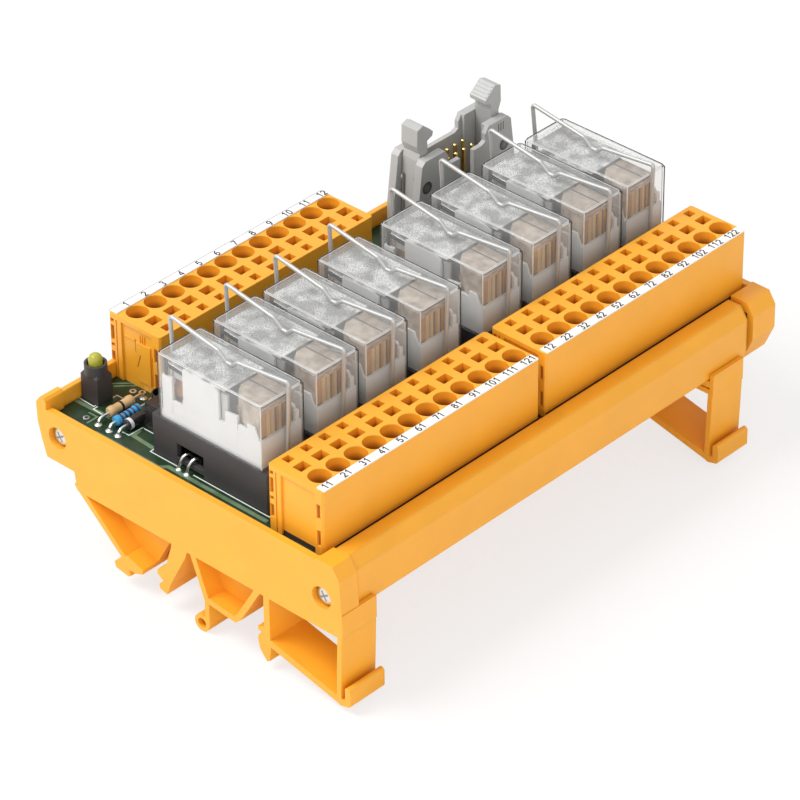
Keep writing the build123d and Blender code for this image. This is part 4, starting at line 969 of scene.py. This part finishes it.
def add_header_details():
    """The latches' slots as dark strips of painted shade, their finger ribs, and dark discs and strips of
    painted shade in the holes and between the ribs on the shell's towers.
    """
    low, high = box_mm("header_shell")
    side_x, board_top = high.x, low.z
    hole_z, near_inset, far_inset = board_top + 11.95, 2.95, 3.65
    slot_width, slot_low, slot_high = 0.4, board_top + 4.5, board_top + 13.5
    rib_runs, rib_width, rib_proud, rib_half = (0.55, 1.45, 2.35, 3.25), 0.45, 0.14, 2.05
    slope = Vector((-3.1, 2.6)).normalized()
    marks = Shapes()
    for name, side in (("near", -1), ("far", 1)):
        latch_low, latch_high = box_mm(f"header_latch_{name}")
        hole_y = low.y + near_inset if side < 0 else high.y - far_inset
        # Dark discs of painted shade for the holes in the towers.
        marks.lathe([(1.45, -0.2), (1.45, 0.03)], (side_x, hole_y, hole_z), axis="x", slot=1)
        marks.lathe([(1.2, -0.2), (0.8, 0.05)], (side_x, hole_y - 0.15, board_top + 11.8), axis="x")
        middle = (latch_low.x + latch_high.x) / 2
        face = latch_low.y if side < 0 else latch_high.y
        near, far = sorted((face - side * 0.02, face + side * 0.03))
        slots = Shapes()
        # Dark strips of painted shade in the gaps beside the latch.
        for x in (middle - 1.75, middle + 1.35):
            slots.block((x, near, slot_low), (x + slot_width, far, slot_high))
        slots.finish(f"latch_{name}_slots", [shadow_grey], "grey_plastic", body=f"latch_{name}")
        foot_z = latch_high.z - 2.6
        tip_y = latch_high.y if side < 0 else latch_low.y
        ribs = Shapes()
        for run in rib_runs:
            lower, upper = slope * run, slope * (run + rib_width)
            proud = Vector((slope.y, -slope.x)) * rib_proud
            corners = [lower, upper, upper + proud, lower + proud]
            section = [(tip_y - side * v.x, foot_z + v.y) for v in corners]
            ribs.prism(section, "x", middle - rib_half, middle + rib_half)
        ribs.finish(f"latch_{name}_ribs", [grey], "grey_plastic", body=f"latch_{name}", bevel_mm=0.04)
    # Dark strips of painted shade between the ribs on the far tower.
    for y in (high.y - 5.6, high.y - 4.85, high.y - 4.1):
        marks.block((side_x, y, 47.2), (side_x + 0.02, y + 0.3, 49.2))
    marks.finish("header_marks", [shadow_grey, hole_shade_grey], "grey_plastic")


# Everything in its material

paint(orange_rounded, "carrier_profile")
paint(orange, "end_plate_front", "end_plate_rear", "mounting_foot_rear", *BLOCKS)
paint(resist, "circuit_board")
paint(steel, "end_plate_screws", "terminal_clamps", "relay_magnets", "board_components")
paint(spring, "relay_contacts")
paint(marker, "marker_strips")
paint(grey, "header_shell", "header_latch_near", "header_latch_far")
paint(gold, "header_pins")
paint(black, "led_holder")
paint(lens, "supply_led")
for n in RELAYS:
    paint(black, f"relay_{n}_socket")
    paint(cover_clear, f"relay_{n}_cover")
    paint(pale, f"relay_{n}_base")
    paint(steel, f"relay_{n}_armature")
    paint(wire, f"relay_{n}_clip")
add_markers()
add_hole_linings()
add_gap_strips()
add_input_end_relief()
add_block_end_slots()
add_screws()
add_relay_frames()
add_coils()
add_contact_chambers()
add_cover_edges()
add_board_parts()
add_board_print()
add_header_details()

add_world()
add_floor()
add_camera()
add_lamp("key", (-0.5, -0.55, 1.1), size=0.7, watts=13.2)
add_lamp("fill", (0.9, -0.7, 0.5), size=0.9, watts=4)

bpy.context.scene.view_settings.view_transform = "Standard"
